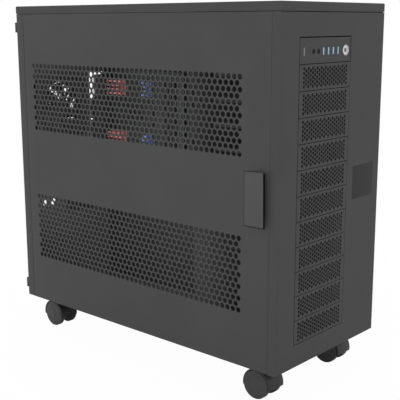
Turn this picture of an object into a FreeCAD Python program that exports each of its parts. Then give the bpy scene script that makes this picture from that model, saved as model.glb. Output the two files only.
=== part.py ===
import FreeCAD, Part
import math
import os

os.makedirs("parts", exist_ok=True)
Vec = FreeCAD.Vector

# Driving dimensions, in millimetres. Shapes are drawn in case coordinates:
# X runs from the outside of the door to the right, Y from the front face to
# the rear, Z from the underside of the base pan upwards.
CASE_WIDTH = 313.0
CASE_DEPTH = 668.0
CASE_HEIGHT = 612.0
CASTER_HEIGHT = 66.0
HANDLE_PROUD = 12.0
REAR_PROUD = 8.0

# Sheet metal and fits
SHEET = 2.0
THIN_SHEET = 1.5
REVEAL = 0.8
SLIDE_FIT = 0.05
SNAP_GAP = 0.1
SEAT_GAP = 0.2
ROUND_CLEARANCE = 0.3
DOOR_GAP = 1.0
CORNER_RADIUS = 5.0
TOP_BAND = 15.0
BEZEL_DEPTH = 16.0
DOOR_FRONT = BEZEL_DEPTH + DOOR_GAP
FLANGE = 18.0
FLANGE_INSET = 30.0
STIFFENER = 10.0
STIFFENER_INSET = 4.2

# Door vents and pull
VENT_FRONT = 75.0
VENT_REAR_MARGIN = 41.0
VENT_HEIGHT = 139.0
VENT_MARGIN_BELOW = 94.0
VENT_MARGIN_ABOVE = 109.0
VENT_COLUMNS = 14
VENT_ROWS = 4
VENT_FLATS = 27.0
STRIP_WIDTH = 21.0
HANDLE_FRONT = 23.9
HANDLE_HEIGHT = 90.0
WEDGE_RUN = 42.0
WEDGE_THICK = 2.2
WEDGE_FOOT = 3.5
WEDGE_TAIL = 14.5
CUP_DEPTH = 16.0
CUP_MARGIN = 5.5
CATCH_INSET = 110.0
CATCH_HEIGHT = 24.0
CATCH_X = 13.0
CATCH_WIDTH = 14.0

# Door hinge and panel screws
KNUCKLE_RADIUS = 3.5
KNUCKLE_LENGTH = 10.0
HINGE_PIN = 1.5
HINGE_BACK = 4.0
LEAF_WIDTH = 17.0
HINGE_INSET = 27.0
HINGE_TOP_INSET = 42.0
THUMB_INSET = 11.0
THUMB_RADIUS = 7.0
SCREW_RADIUS = 2.0
PANEL_FLANGE = 22.0

# Front bays
BAY_LEFT = 52.0
BAY_WIDTH = 150.0
BAY_BOTTOM = 41.3
BAY_TOP_MARGIN = 55.4
BAY_COUNT = 11
BAY_DEPTH = 210.0
COVER_GAP = 0.4
RETURN_DEPTH = 20.0
RETURN_INSET = 3.0
COVER_HOLES = 6
COVER_MARGIN = 7.5
COVER_FLATS = 18.5
RAIL_SLOT_HEIGHT = 8.0
RAIL_SLOT_LENGTH = 120.0
BADGE_MARGIN_LEFT = 18.5
BADGE_MARGIN_RIGHT = 24.0
BADGE_HEIGHT = 60.0
BADGE_DEPTH = 0.8

# Front ports, measured from the left edge of the bay
IO_DROP = 23.2
IO_BOARD_FRONT = 20.0
LED_ALONG = 12.0
LED_WIDTH = 3.0
LED_HEIGHT = 13.0
RESET_ALONG = 27.0
RESET_WIDTH = 4.0
RESET_HEIGHT = 12.0
JACK_ALONG = 39.0
JACK_PITCH = 14.2
JACK_BORE = 1.8
JACK_REACH = 14.0
JACK_RADIUS = 4.0
JACK_BODY = 9.0
USB_ALONG = 67.0
USB_PITCH = 14.4
USB_WIDTH = 7.0
USB_HEIGHT = 14.4
USB_WALL = 0.6
USB_TONGUE = 1.8
POWER_ALONG = 134.0
POWER_RADIUS = 8.0
RING_RADIUS = 9.9
RING_LENGTH = 9.0
RING_NUT = 24.0
SWITCH_DEPTH = 6.0
SWITCH_GAP = 2.0

# Board tray
TRAY_X = 238.0
TRAY_GAP = 6.0
BOARD_FACE = 230.0
BOARD_THICK = 1.6
BOARD_TOP = CASE_HEIGHT * 0.781
BOARD_HEIGHT = 305.0
BOARD_WIDTH = 244.0
BOARD_REAR_GAP = 8.0
BOARD_HOLE_INSET = 10.0
BOARD_HOLES_ALONG = [0.0, 157.48, 227.33]
BOARD_HOLES_DOWN = [0.0, 157.48, 284.48]
STANDOFF_FLATS = 5.0
CABLE_HOLE_FRONT = 66.0
CABLE_HOLE_WIDTH = 50.0
CABLE_HOLE_HEIGHT = 60.0
CABLE_HOLE_DROPS = [288.0, 188.0, 88.0]
FIN_DROP = 24.8
FIN_PITCH = 8.8
FIN_COUNTS = [4, 3]
FIN_THICK = 4.0
FIN_LENGTH = 16.0
FIN_BASE = 4.0
FIN_SLOT_GAP = 42.0
RED_REAR_GAP = 26.5
RED_LENGTH = 44.0
BLUE_REAR_GAP = 136.0
BLUE_LENGTH = 14.0
CARD_SLOTS = 6
CARD_SLOT_LENGTH = 105.0
CARD_SLOT_HEIGHT = 8.0
CARD_SLOT_TALL = 11.0

# Rear wall
FAN_X = 92.0
FAN_DROP = 78.0
FAN_SIZE = 120.0
FAN_DEPTH = 25.0
FAN_SPACING = 105.0
FAN_HOLE = 2.2
FAN_BORE = 57.5
FAN_HUB = 20.0
FAN_SHAFT = 2.0
FAN_STRUT = 5.0
FAN_BLADES = 7
FAN_TIP_GAP = 2.5
BLADE_CHORD = 24.0
BLADE_ANGLE = 40.0
GRILLE_PITCH = 23.0
GRILLE_FLATS = 20.0
PORT_WIDTH = 44.45
PORT_HEIGHT = 158.75
PORT_LAP = 2.45
PORT_DROP = 6.2
PORT_BLOCK_DEPTH = 25.0
PORT_BLOCK_GAP = 3.0
PORT_BLOCK_HEIGHTS = [0.315, 0.283, 0.271, 0.045]
PORT_BLOCK_WIDTHS = [0.9, 0.9, 0.68, 0.19]
SLOT_PITCH = 20.32
SLOT_COUNT = 7
SLOT_DROP = 17.0
SLOT_LENGTH = 110.0
SLOT_HEIGHT = 13.0
SLOT_COVER_LAP = 2.7
HOSE_HOLE_INSETS = [54.0, 75.0]
HOSE_HOLE_LEVEL = 195.0
HOSE_HOLE_FLATS = 13.0
SUPPLY_WIDTH = 142.0
SUPPLY_HEIGHT = 78.0
SUPPLY_DROP = 13.0
SUPPLY_GAP = 14.0

# Casters
WHEEL_RADIUS = 26.0
WHEEL_WIDTH = 10.3
WHEEL_CHAMFER = 1.0
WHEEL_HUB_RADIUS = 9.0
WHEEL_HUB_REACH = 3.85
WHEEL_WALL = 2.0
WHEEL_BORE = 3.05
WHEEL_GAP = 0.5
CASTER_INSET_X = 48.0
CASTER_INSET_FRONT = 44.5
CASTER_INSET_REAR = 31.7
CASTER_TRAIL = 18.0
CASTER_WEB = 14.0
HOOD_CLEARANCE = 0.3
HOOD_SHIFT = 1.5
HOOD_THICK = 1.5
HOOD_INSET = 1.0
HOOD_DROP = 5.0
STEM_RADIUS = 5.0
STEM_REACH = 14.0
SOCKET_SIZE = 44.0
SOCKET_PLATE = 2.5
SOCKET_NUT = 16.0
COLLAR_SIZE = 18.0
COLLAR_BOTTOM = -10.0

# Places worked out from the sizes above
X_SHIFT = HANDLE_PROUD / 2 - CASE_WIDTH / 2
Y_SHIFT = -(CASE_DEPTH + REAR_PROUD) / 2
BAND_BOTTOM = CASE_HEIGHT - TOP_BAND
PANEL_TOP = BAND_BOTTOM - REVEAL
REAR_INNER = CASE_DEPTH - SHEET
ROOF_INNER = CASE_HEIGHT - SHEET
RIGHT_INNER = CASE_WIDTH - SHEET
RIGHT_EDGE = RIGHT_INNER - SLIDE_FIT
LEFT_EDGE = SHEET + DOOR_GAP
VENT_BOTTOMS = [VENT_MARGIN_BELOW, CASE_HEIGHT - VENT_MARGIN_ABOVE - VENT_HEIGHT]
HANDLE_MIDDLE = (VENT_BOTTOMS[0] + VENT_HEIGHT + VENT_BOTTOMS[1]) / 2
HANDLE_REAR = HANDLE_FRONT + WEDGE_RUN + WEDGE_FOOT
HINGE_X = KNUCKLE_RADIUS
HINGE_Y = CASE_DEPTH + HINGE_BACK
HINGE_LEVELS = [HINGE_INSET, CASE_HEIGHT - HINGE_TOP_INSET]
THUMB_X = CASE_WIDTH - THUMB_INSET
THUMB_LEVELS = [HINGE_INSET, CASE_HEIGHT / 2, CASE_HEIGHT - HINGE_TOP_INSET]
CATCH_LEVELS = [CATCH_INSET, CASE_HEIGHT - CATCH_INSET - CATCH_HEIGHT]
BAY_RIGHT = BAY_LEFT + BAY_WIDTH
BAY_TOP = CASE_HEIGHT - BAY_TOP_MARGIN
BAY_PITCH = (BAY_TOP - BAY_BOTTOM) / (BAY_COUNT + 1)
IO_LEVEL = BAY_TOP - IO_DROP
LED_X = BAY_LEFT + LED_ALONG
RESET_X = BAY_LEFT + RESET_ALONG
JACK_X = [BAY_LEFT + JACK_ALONG + jack * JACK_PITCH for jack in range(2)]
USB_X = [BAY_LEFT + USB_ALONG + port * USB_PITCH for port in range(4)]
POWER_X = BAY_LEFT + POWER_ALONG
TRAY_FRONT = BEZEL_DEPTH + BAY_DEPTH + TRAY_GAP
BOARD_REAR = CASE_DEPTH - BOARD_REAR_GAP
BOARD_FRONT = BOARD_REAR - BOARD_WIDTH
FAN_Z = BOARD_TOP - FAN_DROP
PORT_LEFT = BOARD_FACE + PORT_LAP - PORT_WIDTH
PORT_BOTTOM = BOARD_TOP - PORT_DROP - PORT_HEIGHT
SLOT_LEVELS = [PORT_BOTTOM - SLOT_DROP - slot * SLOT_PITCH for slot in range(SLOT_COUNT)]
FIN_TOPS = [BOARD_TOP - FIN_DROP, SLOT_LEVELS[0] + FIN_SLOT_GAP]
SLOT_RIGHT = BOARD_FACE - FIN_BASE - DOOR_GAP
SLOT_LEFT = SLOT_RIGHT - SLOT_LENGTH
SUPPLY_RIGHT = TRAY_X - SUPPLY_GAP
SUPPLY_LEFT = SUPPLY_RIGHT - SUPPLY_WIDTH
SUPPLY_TOP = BAND_BOTTOM - SUPPLY_DROP
AXLE_Z = WHEEL_RADIUS - CASTER_HEIGHT
HUB_FACE = CASTER_WEB / 2 + WHEEL_GAP
TREAD_FACE = HUB_FACE + WHEEL_HUB_REACH
WHEEL_FACE = TREAD_FACE + WHEEL_WIDTH
BORE_END = WHEEL_FACE - WHEEL_WALL
ALONG_X = Vec(1, 0, 0)
ALONG_Y = Vec(0, 1, 0)
ALONG_Z = Vec(0, 0, 1)


# Drawing helpers
def box(x0, x1, y0, y1, z0, z1):
    return Part.makeBox(x1 - x0, y1 - y0, z1 - z0, Vec(x0, y0, z0))


def rod_x(y, z, radius, x0, x1):
    return Part.makeCylinder(radius, x1 - x0, Vec(x0, y, z), ALONG_X)


def rod_y(x, z, radius, y0, y1):
    return Part.makeCylinder(radius, y1 - y0, Vec(x, y0, z), ALONG_Y)


def rod_z(x, y, radius, z0, z1):
    return Part.makeCylinder(radius, z1 - z0, Vec(x, y, z0), ALONG_Z)


def plate_y(x, z, width, height, y0, y1):
    """A block centred on a point of the front or rear wall."""
    return box(x - width / 2, x + width / 2, y0, y1, z - height / 2, z + height / 2)


def join(first, *others):
    return first.fuse(list(others)).removeSplitter()


def save(name, *solids):
    shape = solids[0] if len(solids) == 1 else Part.makeCompound(list(solids))
    shape = shape.copy()
    shape.translate(Vec(X_SHIFT, Y_SHIFT, CASTER_HEIGHT))
    shape.exportStep("parts/" + name + ".step")
    print(name, len(shape.Solids))


def polygon(points):
    return Part.makePolygon(points + [points[0]])


def pierced(outer, holes, thickness):
    """A sheet cut from one outline and many holes, raised by a vector."""
    face = Part.makeFace([outer] + holes, "Part::FaceMakerBullseye")
    return face.extrude(thickness)


def hexagon(centre, across, along, upward):
    """A six-sided outline whose points lie along the second direction."""
    radius = across / math.sqrt(3)
    points = []
    for corner in range(6):
        angle = math.radians(60 * corner + 30)
        points.append(centre + along * (radius * math.cos(angle)) + upward * (radius * math.sin(angle)))
    return polygon(points)


def hex_field(origin, width, height, columns, rows, across, along, upward):
    """Staggered rows of hexagons spread over a rectangle."""
    column_pitch = width / (columns + 0.5)
    row_pitch = height / rows
    holes = []
    for row in range(rows):
        for column in range(columns):
            across_by = (column + 0.5 + 0.5 * (row % 2)) * column_pitch
            centre = origin + along * across_by + upward * ((row + 0.5) * row_pitch)
            holes.append(hexagon(centre, across, along, upward))
    return holes


def hex_rosette(centre, rings, pitch, across, along, upward):
    """Hexagons packed in rings round a middle one."""
    holes = []
    for column in range(-rings, rings + 1):
        for row in range(-rings, rings + 1):
            if abs(column + row) <= rings:
                across_by = (column + row / 2) * pitch
                up_by = row * pitch * math.sqrt(3) / 2
                holes.append(hexagon(centre + along * across_by + upward * up_by, across, along, upward))
    return holes


def rounded_front(x0, x1, y0, y1, z0, z1, radius):
    """A block whose two upright front edges are rounded."""
    block = box(x0, x1, y0, y1, z0, z1)
    edges = []
    for edge in block.Edges:
        first = edge.Vertexes[0].Point
        second = edge.Vertexes[1].Point
        if abs(first.y - y0) < 1e-6 and abs(second.y - y0) < 1e-6 and abs(first.z - second.z) > 1:
            edges.append(edge)
    return block.makeFillet(radius, edges)


# Outer skins
def make_top_cover():
    outer = rounded_front(0, CASE_WIDTH, 0, CASE_DEPTH, BAND_BOTTOM, CASE_HEIGHT, CORNER_RADIUS)
    inner = rounded_front(SHEET, RIGHT_INNER, SHEET, REAR_INNER, BAND_BOTTOM, ROOF_INNER,
                          CORNER_RADIUS - SHEET)
    save("top_cover", outer.cut(inner))


def make_base_pan():
    plate = box(LEFT_EDGE, RIGHT_EDGE, CORNER_RADIUS, REAR_INNER, 0, SHEET)
    right = box(RIGHT_EDGE - SHEET, RIGHT_EDGE, FLANGE_INSET, CASE_DEPTH - FLANGE_INSET, SHEET, FLANGE)
    left_x = SHEET + STIFFENER + SHEET
    left = box(left_x, left_x + SHEET, FLANGE_INSET, CASE_DEPTH - VENT_FRONT, SHEET, FLANGE)
    front = box(FLANGE_INSET, CASE_WIDTH - FLANGE_INSET, BEZEL_DEPTH, BEZEL_DEPTH + SHEET, SHEET, FLANGE)
    rear = box(FLANGE_INSET, SUPPLY_RIGHT, REAR_INNER - SHEET, REAR_INNER, SHEET, FLANGE)
    pan = join(plate, right, left, front, rear)
    hole = SOCKET_NUT / math.sqrt(3) + ROUND_CLEARANCE
    for x, y in caster_places():
        pan = pan.cut(box(x - hole, x + hole, y - hole, y + hole, 0, SHEET))
    save("base_pan", pan)


def make_front_bezel():
    outer = rounded_front(0, CASE_WIDTH, 0, BEZEL_DEPTH, 0, PANEL_TOP, CORNER_RADIUS)
    inner = rounded_front(SHEET, RIGHT_INNER, SHEET, BEZEL_DEPTH, 0, PANEL_TOP, CORNER_RADIUS - SHEET)
    window = box(BAY_LEFT, BAY_RIGHT, 0, SHEET, BAY_BOTTOM, BAY_TOP)
    left = BAY_RIGHT + BADGE_MARGIN_LEFT
    right = CASE_WIDTH - BADGE_MARGIN_RIGHT
    middle_x = (left + right) / 2
    middle_z = (BAY_BOTTOM + BAY_TOP) / 2
    recess = plate_y(middle_x, middle_z, right - left, BADGE_HEIGHT, 0, BADGE_DEPTH)
    save("front_bezel", outer.cut(inner).cut(window).cut(recess))
    badge_width = right - left - 2 * SEAT_GAP
    save("badge_plate", plate_y(middle_x, middle_z, badge_width, BADGE_HEIGHT - 2 * SEAT_GAP, 0, BADGE_DEPTH))


def make_front_frame():
    plate = box(SHEET, RIGHT_INNER, BEZEL_DEPTH - SHEET, BEZEL_DEPTH, SHEET, ROOF_INNER)
    window = box(BAY_LEFT, BAY_RIGHT, 0, BEZEL_DEPTH, BAY_BOTTOM, BAY_TOP)
    save("front_frame", plate.cut(window))


def make_bay_rails():
    rails = []
    middle_y = BEZEL_DEPTH + BAY_DEPTH / 2
    for wall in (BAY_LEFT - SHEET, BAY_RIGHT):
        rail = box(wall, wall + SHEET, BEZEL_DEPTH, BEZEL_DEPTH + BAY_DEPTH, FLANGE, ROOF_INNER)
        cuts = []
        for bay in range(BAY_COUNT + 1):
            low = BAY_BOTTOM + (bay + 0.5) * BAY_PITCH - RAIL_SLOT_HEIGHT / 2
            front = middle_y - RAIL_SLOT_LENGTH / 2
            cuts.append(box(wall, wall + SHEET, front, front + RAIL_SLOT_LENGTH, low, low + RAIL_SLOT_HEIGHT))
        rails.append(rail.cut(Part.makeCompound(cuts)))
    save("bay_rails", *rails)


def make_right_panel():
    flange_front = CASE_DEPTH + SLIDE_FIT
    flange_rear = CASE_DEPTH + THIN_SHEET
    side = box(RIGHT_INNER, CASE_WIDTH, DOOR_FRONT, flange_front, REVEAL, PANEL_TOP)
    flange = box(CASE_WIDTH - PANEL_FLANGE, CASE_WIDTH, flange_front, flange_rear, REVEAL, PANEL_TOP)
    panel = join(side, flange)
    screws = []
    for level in THUMB_LEVELS:
        panel = panel.cut(rod_y(THUMB_X, level, SCREW_RADIUS + SNAP_GAP, CASE_DEPTH, flange_rear))
        head = rod_y(THUMB_X, level, THUMB_RADIUS, flange_rear, CASE_DEPTH + REAR_PROUD)
        shank = rod_y(THUMB_X, level, SCREW_RADIUS, CASE_DEPTH - REAR_PROUD, flange_rear)
        screws.append(join(head, shank))
    save("right_panel", panel)
    save("panel_thumbscrews", *screws)


# Rear wall
def fan_holes():
    places = []
    for side_x in (-0.5, 0.5):
        for side_z in (-0.5, 0.5):
            places.append((FAN_X + side_x * FAN_SPACING, FAN_Z + side_z * FAN_SPACING))
    return places


def make_rear_panel():
    y0 = REAR_INNER
    y1 = CASE_DEPTH
    corners = [Vec(LEFT_EDGE, y0, 0), Vec(RIGHT_EDGE, y0, 0), Vec(RIGHT_EDGE, y0, BAND_BOTTOM),
               Vec(LEFT_EDGE, y0, BAND_BOTTOM)]
    hose_places = [Vec(x, y0, HOSE_HOLE_LEVEL) for x in HOSE_HOLE_INSETS]
    holes = [hexagon(place, HOSE_HOLE_FLATS, ALONG_X, ALONG_Z) for place in hose_places]
    holes += hex_rosette(Vec(FAN_X, y0, FAN_Z), 2, GRILLE_PITCH, GRILLE_FLATS, ALONG_X, ALONG_Z)
    panel = pierced(polygon(corners), holes, Vec(0, SHEET, 0))
    cuts = [box(PORT_LEFT, PORT_LEFT + PORT_WIDTH, y0, y1, PORT_BOTTOM, PORT_BOTTOM + PORT_HEIGHT)]
    for hole_x, hole_z in fan_holes():
        cuts.append(rod_y(hole_x, hole_z, FAN_HOLE, y0, y1))
    middle_x = (SLOT_LEFT + SLOT_RIGHT) / 2
    for level in SLOT_LEVELS:
        cuts.append(plate_y(middle_x, level, SLOT_LENGTH, SLOT_HEIGHT, y0, y1))
    cuts.append(box(SUPPLY_LEFT, SUPPLY_RIGHT, y0, y1, SUPPLY_TOP - SUPPLY_HEIGHT, SUPPLY_TOP))
    screw_hole = 2 * (SCREW_RADIUS + ROUND_CLEARANCE)
    for level in THUMB_LEVELS:
        cuts.append(plate_y(THUMB_X, level, screw_hole, screw_hole, y0, y1))
    save("rear_panel", panel.cut(Part.makeCompound(cuts)))
    covers = []
    cover_length = SLOT_LENGTH + 2 * SLOT_COVER_LAP
    cover_height = SLOT_HEIGHT + 2 * SLOT_COVER_LAP
    for level in SLOT_LEVELS:
        covers.append(plate_y(middle_x, level, cover_length, cover_height, y0 - DOOR_GAP, y0))
    save("slot_covers", *covers)


def make_rear_fan():
    front = REAR_INNER - FAN_DEPTH
    frame = plate_y(FAN_X, FAN_Z, FAN_SIZE, FAN_SIZE, front, REAR_INNER)
    frame = frame.cut(rod_y(FAN_X, FAN_Z, FAN_BORE, front, REAR_INNER))
    strut_rear = REAR_INNER - THIN_SHEET
    strut_front = strut_rear - FAN_STRUT
    hub = rod_y(FAN_X, FAN_Z, FAN_HUB, strut_front, strut_rear)
    struts = []
    for turn in range(4):
        reach = FAN_BORE + THIN_SHEET
        strut = box(FAN_X + FAN_HUB - THIN_SHEET, FAN_X + reach, strut_front, strut_rear,
                    FAN_Z - FAN_STRUT / 2, FAN_Z + FAN_STRUT / 2)
        strut.rotate(Vec(FAN_X, 0, FAN_Z), ALONG_Y, 45 + 90 * turn)
        struts.append(strut)
    bearing = rod_y(FAN_X, FAN_Z, FAN_SHAFT + SLIDE_FIT, strut_front, strut_rear)
    save("rear_fan_frame", join(frame, hub, *struts).cut(bearing))
    cap_front = front + DOOR_GAP
    cap_rear = strut_front - WHEEL_GAP
    middle_y = (cap_front + cap_rear) / 2
    blades = []
    for turn in range(FAN_BLADES):
        blade = box(FAN_X + FAN_HUB - SHEET, FAN_X + FAN_BORE - FAN_TIP_GAP, middle_y - THIN_SHEET / 2,
                    middle_y + THIN_SHEET / 2, FAN_Z - BLADE_CHORD / 2, FAN_Z + BLADE_CHORD / 2)
        blade.rotate(Vec(FAN_X, middle_y, FAN_Z), ALONG_X, BLADE_ANGLE)
        blade.rotate(Vec(FAN_X, middle_y, FAN_Z), ALONG_Y, turn * 360.0 / FAN_BLADES)
        blades.append(blade)
    cap = rod_y(FAN_X, FAN_Z, FAN_HUB, cap_front, cap_rear)
    shaft = rod_y(FAN_X, FAN_Z, FAN_SHAFT, cap_rear, strut_rear - WHEEL_GAP)
    save("rear_fan_rotor", join(cap, shaft, *blades))


# Board and tray
def make_tray():
    back = TRAY_X + SHEET
    tray = box(TRAY_X, back, TRAY_FRONT, REAR_INNER, SHEET, ROOF_INNER)
    front = BOARD_FRONT - CABLE_HOLE_FRONT
    for drop in CABLE_HOLE_DROPS:
        low = BOARD_TOP - drop
        tray = tray.cut(box(TRAY_X, back, front, front + CABLE_HOLE_WIDTH, low, low + CABLE_HOLE_HEIGHT))
    save("motherboard_tray", tray)
    board_back = BOARD_FACE + BOARD_THICK
    posts = []
    for along in BOARD_HOLES_ALONG:
        for down in BOARD_HOLES_DOWN:
            centre = Vec(board_back, BOARD_REAR - BOARD_HOLE_INSET - along,
                         BOARD_TOP - BOARD_HOLE_INSET - down)
            face = Part.Face(hexagon(centre, STANDOFF_FLATS, ALONG_Y, ALONG_Z))
            posts.append(face.extrude(Vec(TRAY_X - board_back, 0, 0)))
    save("board_standoffs", *posts)
    board_low = BOARD_TOP - BOARD_HEIGHT
    save("motherboard", box(BOARD_FACE, board_back, BOARD_FRONT, BOARD_REAR, board_low, BOARD_TOP))


def comb(rear_gap, length, top, count):
    """A finned block standing on the board, its highest fin at the given level."""
    y1 = BOARD_REAR - rear_gap
    low = top - (count - 1) * FIN_PITCH
    root = BOARD_FACE - FIN_BASE
    base = box(root, BOARD_FACE, y1 - length, y1, low - FIN_BASE, top + FIN_BASE)
    fins = []
    for fin in range(count):
        level = top - fin * FIN_PITCH
        fins.append(box(root - FIN_LENGTH, root, y1 - length, y1, level - FIN_THICK / 2,
                        level + FIN_THICK / 2))
    return join(base, *fins)


def make_board_parts():
    combs = list(zip(FIN_TOPS, FIN_COUNTS))
    save("red_heatsinks", *[comb(RED_REAR_GAP, RED_LENGTH, top, count) for top, count in combs])
    save("blue_heatsinks", *[comb(BLUE_REAR_GAP, BLUE_LENGTH, top, count) for top, count in combs])
    ports = []
    bottom = PORT_BOTTOM + PORT_BLOCK_GAP
    for height, width in zip(PORT_BLOCK_HEIGHTS, PORT_BLOCK_WIDTHS):
        top = bottom + height * PORT_HEIGHT
        ports.append(box(BOARD_FACE - width * PORT_WIDTH, BOARD_FACE, BOARD_REAR - PORT_BLOCK_DEPTH,
                         CASE_DEPTH - DOOR_GAP, bottom, top))
        bottom = top + PORT_BLOCK_GAP
    save("rear_port_stack", *ports)
    slots = []
    slot_rear = BOARD_REAR - 2 * FLANGE
    for level in SLOT_LEVELS[:CARD_SLOTS]:
        slots.append(box(BOARD_FACE - CARD_SLOT_TALL, BOARD_FACE, slot_rear - CARD_SLOT_LENGTH, slot_rear,
                         level - CARD_SLOT_HEIGHT / 2, level + CARD_SLOT_HEIGHT / 2))
    save("expansion_slots", *slots)


# Door
def make_door():
    y0 = DOOR_FRONT
    y1 = CASE_DEPTH - STRIP_WIDTH - REVEAL
    corners = [Vec(0, y0, REVEAL), Vec(0, y1, REVEAL), Vec(0, y1, PANEL_TOP), Vec(0, y0, PANEL_TOP)]
    width = CASE_DEPTH - VENT_REAR_MARGIN - VENT_FRONT
    holes = []
    for bottom in VENT_BOTTOMS:
        origin = Vec(0, VENT_FRONT, bottom)
        holes += hex_field(origin, width, VENT_HEIGHT, VENT_COLUMNS, VENT_ROWS, VENT_FLATS, ALONG_Y, ALONG_Z)
    front = HANDLE_FRONT + SHEET + WHEEL_GAP
    rear = HANDLE_REAR + WHEEL_GAP
    low = HANDLE_MIDDLE - HANDLE_HEIGHT / 2 - WHEEL_GAP
    high = HANDLE_MIDDLE + HANDLE_HEIGHT / 2 + WHEEL_GAP
    holes.append(polygon([Vec(0, front, low), Vec(0, rear, low), Vec(0, rear, high), Vec(0, front, high)]))
    skin = pierced(polygon(corners), holes, Vec(SHEET, 0, 0))
    edge_low = REVEAL + STIFFENER_INSET
    edge_high = PANEL_TOP - STIFFENER_INSET
    edge_front = DOOR_FRONT + STIFFENER_INSET - DOOR_GAP
    edge_rear = CASE_DEPTH - VENT_REAR_MARGIN
    depth = SHEET + STIFFENER
    bottom = box(SHEET, depth, edge_front, edge_rear, edge_low, edge_low + SHEET)
    top = box(SHEET, depth, edge_front, edge_rear, edge_high - SHEET, edge_high)
    upright = box(SHEET, depth, edge_front, edge_front + SHEET, edge_low, edge_high)
    save("left_door", join(skin, bottom, top, upright))


def make_hinge():
    rear = CASE_DEPTH - WHEEL_GAP
    strip_front = CASE_DEPTH - STRIP_WIDTH
    strip = box(0, SHEET, strip_front, rear, REVEAL, PANEL_TOP)
    tie = box(SHEET, 2 * SHEET, strip_front - STIFFENER, CASE_DEPTH - HINGE_BACK,
              STIFFENER, PANEL_TOP - STIFFENER)
    leaf_left = 2 * KNUCKLE_RADIUS + SHEET
    plate_rear = CASE_DEPTH + THIN_SHEET
    pieces = [tie]
    bores = []
    leaves = []
    for level in HINGE_LEVELS:
        top = level + KNUCKLE_LENGTH
        bottom = level - KNUCKLE_LENGTH
        joint = level - SLIDE_FIT
        pieces.append(box(0, SHEET, rear, HINGE_Y, level, top))
        pieces.append(rod_z(HINGE_X, HINGE_Y, KNUCKLE_RADIUS, level, top))
        bores.append(rod_z(HINGE_X, HINGE_Y, HINGE_PIN + SLIDE_FIT, level, top))
        leaf = box(leaf_left, leaf_left + LEAF_WIDTH, CASE_DEPTH, plate_rear, bottom, top)
        neck = box(HINGE_X, leaf_left, CASE_DEPTH, plate_rear, bottom, joint)
        knuckle = rod_z(HINGE_X, HINGE_Y, KNUCKLE_RADIUS, bottom, joint)
        pin = rod_z(HINGE_X, HINGE_Y, HINGE_PIN, bottom, top)
        leaves.append(join(leaf, neck, knuckle, pin))
    save("hinge_strip", join(strip, *pieces).cut(Part.makeCompound(bores)))
    save("hinge_leaves", *leaves)


def make_handle():
    slope = math.hypot(HANDLE_PROUD, WEDGE_RUN)
    inner_x = WEDGE_THICK * WEDGE_RUN / slope - HANDLE_PROUD
    inner_y = HANDLE_FRONT - WEDGE_THICK * HANDLE_PROUD / slope
    foot = HANDLE_FRONT + WEDGE_RUN
    inner_end = inner_y + (SHEET - inner_x) * WEDGE_RUN / HANDLE_PROUD
    tail = HANDLE_REAR + WEDGE_TAIL
    back = SHEET + WEDGE_THICK
    profile = [(-HANDLE_PROUD, HANDLE_FRONT), (0, foot), (0, HANDLE_REAR), (SHEET, HANDLE_REAR),
               (SHEET, tail), (back, tail), (back, foot), (SHEET, inner_end), (inner_x, inner_y)]
    low = HANDLE_MIDDLE - HANDLE_HEIGHT / 2
    points = [Vec(x, y, low) for x, y in profile]
    save("door_handle", Part.Face(polygon(points)).extrude(Vec(0, 0, HANDLE_HEIGHT)))
    cup_front = HANDLE_FRONT + DOOR_GAP
    cup_rear = inner_end - THIN_SHEET
    cup_low = low - CUP_MARGIN
    cup_high = low + HANDLE_HEIGHT + CUP_MARGIN
    outer = box(SHEET, SHEET + CUP_DEPTH, cup_front, cup_rear, cup_low, cup_high)
    inner = box(SHEET, SHEET + CUP_DEPTH - THIN_SHEET, cup_front + THIN_SHEET, cup_rear - THIN_SHEET,
                cup_low + THIN_SHEET, cup_high - THIN_SHEET)
    save("handle_cup", outer.cut(inner))
    strikes = []
    catches = []
    strike_front = DOOR_FRONT + STIFFENER_INSET + DOOR_GAP + SHEET
    for level in CATCH_LEVELS:
        catches.append(box(CATCH_X, CATCH_X + CATCH_WIDTH, BEZEL_DEPTH, BEZEL_DEPTH + FLANGE,
                           level, level + CATCH_HEIGHT))
        strikes.append(box(SHEET, CATCH_X - SNAP_GAP, strike_front, BEZEL_DEPTH + FLANGE - SHEET,
                           level + SHEET, level + CATCH_HEIGHT - SHEET))
    save("door_strikes", *strikes)
    save("door_catches", *catches)


# Front bays
def cover_returns(bottom, top, depth):
    low = bottom + RETURN_INSET
    high = top - RETURN_INSET
    left = box(BAY_LEFT, BAY_LEFT + THIN_SHEET, SHEET, depth, low, high)
    right = box(BAY_RIGHT - THIN_SHEET, BAY_RIGHT, SHEET, depth, low, high)
    return left, right


def make_bay_covers():
    x0 = BAY_LEFT + COVER_GAP
    x1 = BAY_RIGHT - COVER_GAP
    pitch = (BAY_WIDTH - 2 * COVER_MARGIN) / COVER_HOLES
    for bay in range(BAY_COUNT):
        bottom = BAY_BOTTOM + bay * BAY_PITCH + COVER_GAP
        top = bottom + BAY_PITCH - 2 * COVER_GAP
        corners = [Vec(x0, 0, bottom), Vec(x1, 0, bottom), Vec(x1, 0, top), Vec(x0, 0, top)]
        holes = []
        for column in range(COVER_HOLES):
            centre = Vec(BAY_LEFT + COVER_MARGIN + (column + 0.5) * pitch, 0, (bottom + top) / 2)
            holes.append(hexagon(centre, COVER_FLATS, ALONG_X, ALONG_Z))
        face = pierced(polygon(corners), holes, Vec(0, SHEET, 0))
        save("bay_cover_%02d" % (bay + 1), join(face, *cover_returns(bottom, top, RETURN_DEPTH)))


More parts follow.
